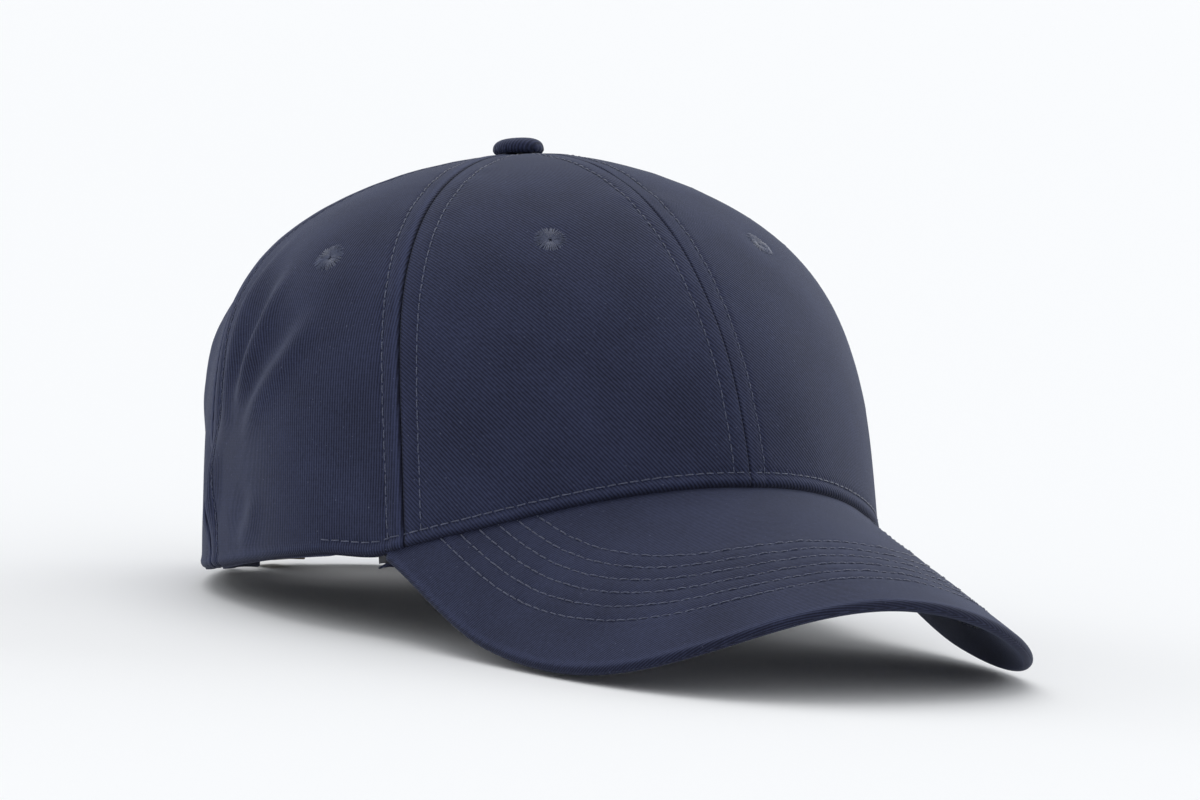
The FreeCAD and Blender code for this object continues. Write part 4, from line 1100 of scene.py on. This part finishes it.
seam_tape("tape_front", 0.0, float(rim_share(0.0, np.array(2.3), 2.5)), 1.8)
for side, sign in SIDES.items():
    seam_tape(f"tape_front_{side}", sign * FRONT_SEAM, float(rim_share(sign * FRONT_SEAM, np.array(2.3), 4.0)), 1.8)
    seam_tape(f"tape_side_{side}", sign * BACK_SEAM, float(rim_share(sign * BACK_SEAM, np.array(0.0), 1.0)), 1.1)
seam_tape("tape_back", 180.0, (ARCH_RISE + ARCH_HALF + 8.0) / CROWN_RISE, 1.1, count=90)

for side, sign in SIDES.items():
    share = np.linspace(0, 1, 70)[:, None]
    angle = sign * (2.0 + (FRONT_SEAM - 4.0) * share)
    foot = climb_at(rim_share(angle, np.full(angle.shape, 1.4), 2.5))
    climb = foot + (climb_at_radius(angle, 12.0) - foot) * np.linspace(0, 1, 110)[None, :]
    angle = np.broadcast_to(angle, climb.shape)
    weave = 0.05 * np.sin(np.radians(angle) * 90 * 2.2) * np.sin(seam_run(30.0, climb) * 2.2)
    grain = np.stack([np.radians(angle - sign * 30) * plan_radius(30.0, climb), seam_run(30.0, climb)], -1)
    centre = crown_skin(np.array(sign * 29.9), climb_at(0.752))
    outer = soft_depth(angle, climb, 1.1)
    cells = (outer[1:, 1:] + outer[:-1, :-1]) / 2
    piece = cloth(f"buckram_net_{side}", outer, soft_depth(angle, climb, 1.6 + weave), grain, {"wear_and_shade": 0 * climb},
                  np.linalg.norm(cells - centre, axis=-1) < 2.2)
    piece.data.materials.append(buckram_weave)


def binding_line(out):
    """The arch's edge, a distance out from it, from the left foot to the right one."""
    half = ARCH_HALF + out
    leg = np.linspace(10.5, ARCH_RISE, 14)[:-1]
    turn = np.linspace(0, np.pi, 170)
    across = np.concatenate([np.full(13, half), half * np.cos(turn), np.full(13, -half)])
    up_line = np.concatenate([leg, ARCH_RISE + half * np.sin(turn), leg[::-1]])
    bearing, climb = crown_at(np.abs(across), up_line)
    return np.where(across >= 0, bearing, -bearing), climb


outs = np.linspace(0.3, 7.3, 18)
pairs = [binding_line(out) for out in outs]
angle, climb = np.stack([pair[0] for pair in pairs], 1), np.stack([pair[1] for pair in pairs], 1)
half_fold = np.where(angle > 0, slouch(np.abs(angle), climb, "left"), slouch(np.abs(angle), climb, "right"))
base, away = crown_skin(angle, climb), crown_normal(angle, climb)
run = np.linspace(0, 150, len(angle))[:, None] + 0 * climb
puff = 0.14 * ripple(run / 2.0, outs[None, :] / 3, 61) - 0.2 * dent(outs[None, :] - 5.5, 0.6)
binding = cloth("binding_tape", base + away * (half_fold - 1.1)[..., None],
                base + away * (half_fold - 1.6 - np.maximum(puff, -0.3))[..., None],
                np.stack([outs[None, :] + 0 * run, run], -1), {"wear_and_shade": dent(outs[None, :] + 0 * run - 0.3, 0.8)})
binding.data.materials.append(tape_weave)

angle, height = np.broadcast_arrays(np.linspace(100, 113, 40)[:, None], np.linspace(12, 30, 50)[None, :])
folded = turned_edge(np.minimum(height - 12, 30 - height), 0.25)
depth = band_depth(angle) + BAND_THICK + 0.34
label = cloth("blank_label", crown_point(angle, height / CROWN_RISE, depth - 0.1),
              crown_point(angle, height / CROWN_RISE, depth + 0.22 - folded + 0.08 * ripple(angle / 2, height / 3, 71)),
              np.stack([np.radians(angle) * 85, height], -1), {"wear_and_shade": 0 * height})
label.data.materials.append(label_satin)
print("pieces so far:", len(made))

# %% [markdown]
# ## Strap and buckle
# The closure is a folded strip of the crown's twill that is sewn inside one back panel and slides through a
# lever buckle on the other side. The buckle hangs on a short tab whose end loops round its bar.
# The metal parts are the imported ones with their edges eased, because a cast edge is never sharp.

# %% Strap and tab
strap_twill = twill("strap_twill", NAVY_DEEP, NAVY_PALE, slant=52, pitch=0.72)
STRAP_WIDE, STRAP_RADIUS, STRAP_THICK = 19.0, 69.2, 1.2


def ribbon(name, line, away, thick, wide, body_rows, seed):
    """A flat band along a plan line, its width upright, with stitched and turned edges."""
    line, away = np.asarray(line, float), unit(np.asarray(away, float))
    run = np.concatenate([[0], np.cumsum(np.linalg.norm(np.diff(line, axis=0), axis=1))])
    level = (spaced(30, 0.6) - 0.5) * wide
    edge = wide / 2 - np.abs(level)
    ends = np.minimum(run, run[-1] - run)
    puff = -turned_edge(edge, 0.5)[None, :] - turned_edge(ends, 0.5)[:, None]
    for row in body_rows:
        puff = puff - 0.16 * dent(edge - row, 0.6)[None, :]
    puff = np.maximum(puff + 0.05 * ripple(run[:, None] / 3, level[None, :] / 3, seed), -0.55 * thick)
    shape = (len(line), len(level))
    centre = np.concatenate([np.broadcast_to(line[:, None, :], (*shape, 2)),
                             np.broadcast_to((STRAP_RISE + level)[None, :, None], (*shape, 1))], -1)
    sideways = np.concatenate([np.broadcast_to(away[:, None, :], (*shape, 2)), np.zeros((*shape, 1))], -1)
    grain = np.stack(np.broadcast_arrays(run[:, None], level[None, :]), -1)
    wear_and_shade = np.broadcast_to(dent(edge, 0.9)[None, :], shape)
    half = thick / 2
    piece = cloth(name, centre + sideways * (half + puff)[..., None],
                  centre - sideways * (half + np.maximum(puff, -0.35 * thick))[..., None], grain, {"wear_and_shade": wear_and_shade})
    piece.data.materials.append(strap_twill)
    return piece


def hoop(turn, radius):
    """Plan points round the strap's centre, turn in degrees from straight back towards the left."""
    turn = np.radians(turn)
    return np.stack([radius * np.sin(turn), STRAP_BACK + radius * np.cos(turn)], -1), \
        np.stack([np.sin(turn), np.cos(turn)], -1)


strap_line, strap_away = hoop(np.linspace(-45, 50, 190), STRAP_RADIUS - STRAP_THICK / 2)
ribbon("strap_cloth", strap_line, strap_away, STRAP_THICK, STRAP_WIDE, (1.8,), 81)


def hoop_row(turns, radius, level, way=1):
    line, away = hoop(turns, radius)
    flat = np.full((len(line), 1), STRAP_RISE + level)
    return np.concatenate([line, flat], 1), way * np.concatenate([away, 0 * flat], 1)


strap_turns = np.linspace(-44, 49, 300)
rows = [hoop_row(strap_turns, STRAP_RADIUS + 0.02, level) for level in (-7.7, 7.7)]
rows += [hoop_row(strap_turns, STRAP_RADIUS - STRAP_THICK - 0.02, level, -1) for level in (-7.7, 7.7)]
grown(line_piece("strap_stitches", rows), stitch_tree, pitch=0.0028, length=0.0023, thickness=0.00034,
      arch=0.00032, seed=43, thread=topstitch_thread)

TAB_RADIUS, TAB_THICK, BAR_TURN, BAR_RADIUS = 66.55, 0.86, -26.34, 66.02
bend_turns = np.linspace(-50, BAR_TURN, 60)
band_radius = TAB_RADIUS + 0.65 * smooth((bend_turns - BAR_TURN + 4) / 4)
tab_line, tab_away = hoop(bend_turns, band_radius)
(bar_spot,), (bar_out,) = (part[None] for part in hoop(BAR_TURN, BAR_RADIUS))
bar_side = np.array([bar_out[1], -bar_out[0]])
wrap = np.radians(np.linspace(12, 180, 26))[:, None]
loop_away = np.cos(wrap) * bar_out + np.sin(wrap) * bar_side
tail_turns = np.linspace(BAR_TURN - 0.8, BAR_TURN - 7.0, 14)
tail_line, tail_away = hoop(tail_turns, BAR_RADIUS - 1.2 + 0.35 * smooth((BAR_TURN - tail_turns) / 5))
tab_line = np.concatenate([tab_line, bar_spot + 1.18 * loop_away, tail_line])
tab_away = np.concatenate([tab_away, loop_away, -tail_away])
ribbon("tab_cloth", tab_line, tab_away, TAB_THICK, STRAP_WIDE, (1.6,), 83)
tab_turns = np.linspace(-49, -30, 60)
rows = [hoop_row(tab_turns, TAB_RADIUS + 0.47, level) for level in (-7.9, 7.9)]
for turn in (-33.0, -34.2):
    line, away = hoop(np.full(30, turn), TAB_RADIUS + 0.47)
    levels = np.linspace(-8.6, 8.6, 30)[:, None]
    rows.append((np.concatenate([line, STRAP_RISE + levels], 1), np.concatenate([away, 0 * levels], 1)))
grown(line_piece("tab_stitches", rows), stitch_tree, pitch=0.002, length=0.0017, thickness=0.00034, arch=0.0003,
      seed=47, thread=topstitch_thread)


# %% Metal finishes
def metal(name, deep, pale, roughness, brushed=60.0):
    """Plated metal with fine brushing and a darker tone in patches."""
    material, tree, shader = new_material(name, roughness, metallic=1.0)
    place = add(tree, "ShaderNodeTexCoord").outputs["Object"]
    patina = add(tree, "ShaderNodeTexNoise", {"Vector": place, "Scale": 420.0, "Detail": 5.0, "Roughness": 0.65}).outputs["Fac"]
    squeezed = add(tree, "ShaderNodeMapping", {"Vector": place, "Scale": (40, 40, 1)}).outputs[0]
    lines = add(tree, "ShaderNodeTexNoise", {"Vector": squeezed, "Scale": brushed, "Detail": 3.0}).outputs["Fac"]
    tree.links.new(blend_colours(tree, calc(tree, "MULTIPLY", patina, 1.25), deep, pale), shader.inputs["Base Color"])
    tree.links.new(calc(tree, "MULTIPLY_ADD", patina, -0.25, roughness + 0.14), shader.inputs["Roughness"])
    bump = add(tree, "ShaderNodeBump", {"Height": lines, "Strength": 0.12, "Distance": 0.0001})
    tree.links.new(bump.outputs[0], shader.inputs["Normal"])
    return material


antique_brass = metal("antique_brass", (0.045, 0.034, 0.022), (0.20, 0.155, 0.095), 0.36)
button_steel = metal("button_steel", (0.30, 0.30, 0.31), (0.62, 0.62, 0.63), 0.32)
board_dark, board_tree, board_shader = new_material("board_dark", 0.5)
speckle = add(board_tree, "ShaderNodeTexNoise", {"Scale": 300.0, "Detail": 3.0}).outputs["Fac"]
board_tree.links.new(blend_colours(board_tree, speckle, (0.012, 0.013, 0.020), (0.030, 0.032, 0.042)),
                     board_shader.inputs["Base Color"])


def eased(node, width):
    """A copy of a packed metal part with its sharp edges rounded."""
    mesh = nodes[node].data.copy()
    piece = bpy.data.objects.new(f"{node}_eased", mesh)
    scene.collection.objects.link(piece)
    work = bmesh.new()
    work.from_mesh(mesh)
    bmesh.ops.remove_doubles(work, verts=work.verts, dist=1e-6)
    bmesh.ops.dissolve_limit(work, angle_limit=math.radians(2), verts=work.verts, edges=work.edges)
    work.to_mesh(mesh)
    work.free()
    bevel = piece.modifiers.new("ease", "BEVEL")
    bevel.width, bevel.segments, bevel.limit_method, bevel.angle_limit = width, 3, "ANGLE", math.radians(35)
    bpy.context.view_layer.update()
    piece.data = bpy.data.meshes.new_from_object(piece.evaluated_get(bpy.context.evaluated_depsgraph_get()))
    piece.modifiers.clear()
    piece.data.polygons.foreach_set("use_smooth", [True] * len(piece.data.polygons))
    piece.data.set_sharp_from_angle(angle=math.radians(40))
    piece.data.materials.clear()
    piece.data.materials.append(antique_brass)
    made[piece.name] = piece
    print(piece.name, "has", len(piece.data.polygons), "faces")
    return piece


eased("buckle_frame", 0.00028)
eased("buckle_lever", 0.00030)
for node, finish in (("buckle_pin", antique_brass), ("button_shell", button_steel), ("button_prong", button_steel),
                     ("visor_board", board_dark)):
    nodes[node].data.materials.clear()
    nodes[node].data.materials.append(finish)

# %% [markdown]
# ## Studio
# A wide pale floor fills the picture, under an even white sky. Sun lamps light the floor evenly far out; given
# a wide angle they are as soft as big panels. One stands high behind the cap, so its top is the palest part,
# and two low ones, at its right and behind its left, draw paler edges.

# %% Floor, sky and lights
floor_mesh = bpy.data.meshes.new("floor")
rim_points = [(14 * math.cos(turn), 14 * math.sin(turn), -0.0006) for turn in np.linspace(0, 2 * math.pi, 97)[:-1]]
floor_mesh.from_pydata(rim_points, [], [list(range(96))])
floor = bpy.data.objects.new("floor", floor_mesh)
scene.collection.objects.link(floor)
floor_paint, floor_tree, floor_shader = new_material("floor_paint", 0.9, specular=0.1)
paper = add(floor_tree, "ShaderNodeTexNoise", {"Scale": 3.0, "Detail": 3.0}).outputs["Fac"]
floor_tree.links.new(blend_colours(floor_tree, paper, (0.90, 0.905, 0.915), (0.93, 0.93, 0.935)),
                     floor_shader.inputs["Base Color"])
floor_mesh.materials.append(floor_paint)

world = bpy.data.worlds.new("studio")
scene.world = world
world.use_nodes = True
world.node_tree.nodes["Background"].inputs["Color"].default_value = (0.97, 0.985, 1.0, 1)
world.node_tree.nodes["Background"].inputs["Strength"].default_value = 0.68


def soft_sun(name, azimuth, elevation, strength, spread, colour=(1, 1, 1)):
    """A sun lamp that shines from an azimuth and elevation, as wide as its spread in degrees."""
    light = bpy.data.lights.new(name, "SUN")
    light.energy, light.angle, light.color = strength, math.radians(spread), colour
    holder = bpy.data.objects.new(name, light)
    a, e = math.radians(azimuth), math.radians(elevation)
    away = Vector((math.sin(a) * math.cos(e), -math.cos(a) * math.cos(e), math.sin(e)))
    holder.matrix_world = Matrix.Translation(away * 2) @ away.to_track_quat("Z", "Y").to_matrix().to_4x4()
    scene.collection.objects.link(holder)


soft_sun("overhead", 165, 66, 0.95, 60)
soft_sun("right_edge", 100, 16, 0.9, 40, (0.95, 0.98, 1.0))
soft_sun("left_edge", -140, 24, 0.3, 40, (0.95, 0.98, 1.0))
scene.view_settings.view_transform = "Standard"

# %% [markdown]
# ## Joining the pieces to the moving bodies
# Each piece rides on a body of the imported model. The table gives for each piece the packed part that it
# stands for, which is hidden, and the name of its finish. Cloth pieces also keep the size of the flat cloth they were
# cut from.

# %% Bodies, replaced nodes and finishes
STANDS_FOR = {"visor_top": ("visor_top_cloth", "visor_twill"), "visor_under": ("visor_under_cloth", "visor_twill"),
              "button_cloth": ("button_cover", "button_twill"), "sweatband_cloth": ("sweatband", "sweatband_cloth"),
              "tape_front": ("seam_tape_front", "seam_tape"), "tape_back": ("seam_tape_back", "seam_tape"),
              "binding_tape": ("arch_binding", "seam_tape"), "blank_label": ("size_label", "label_cloth"),
              "strap_cloth": ("closure_strap", "strap_twill"), "tab_cloth": ("strap_tab", "strap_twill"),
              "buckle_frame_eased": ("buckle_frame", "buckle_brass"),
              "buckle_lever_eased": ("buckle_lever", "buckle_brass")}
for side in SIDES:
    for place in PANELS:
        STANDS_FOR[f"panel_{place}_{side}_twill"] = (f"panel_{place}_{side}", "crown_twill")
        STANDS_FOR[f"eyelet_{place}_{side}_thread"] = (f"eyelet_{place}_{side}", "embroidery_thread")
    for place in ("front", "side"):
        STANDS_FOR[f"tape_{place}_{side}"] = (f"seam_tape_{place}_{side}", "seam_tape")
    STANDS_FOR[f"buckram_net_{side}"] = (f"buckram_{side}", "buckram")
BODY_OF = {"strap_cloth": "strap", "strap_stitches": "strap", "buckle_lever_eased": "lever"}
for name, piece in made.items():
    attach(piece, BODY_OF.get(name, "cap"))
    if name in STANDS_FOR:
        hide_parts(STANDS_FOR[name][0])
print("pieces:", len(made))

# %% [markdown]
# Each sheet of cloth also says how big it was when cut. The grain maps are those flat cuts, so the sizes are
# read from them. Tapes narrower than 10 mm are too small to count.

# %% Cut sizes of the sheets
gather_reach = float(np.linalg.norm(np.diff(button_profile, axis=0), axis=1).sum()) / 1000
flats["button_cloth"] = (2 * gather_reach, 2 * gather_reach, math.pi * gather_reach ** 2)
for name, (wide, long, cut) in flats.items():
    if min(wide, long) > 0.01:
        print(f"{name:24s} {1000 * wide:6.1f} x {1000 * long:6.1f} mm, {1e4 * cut:6.1f} square cm")
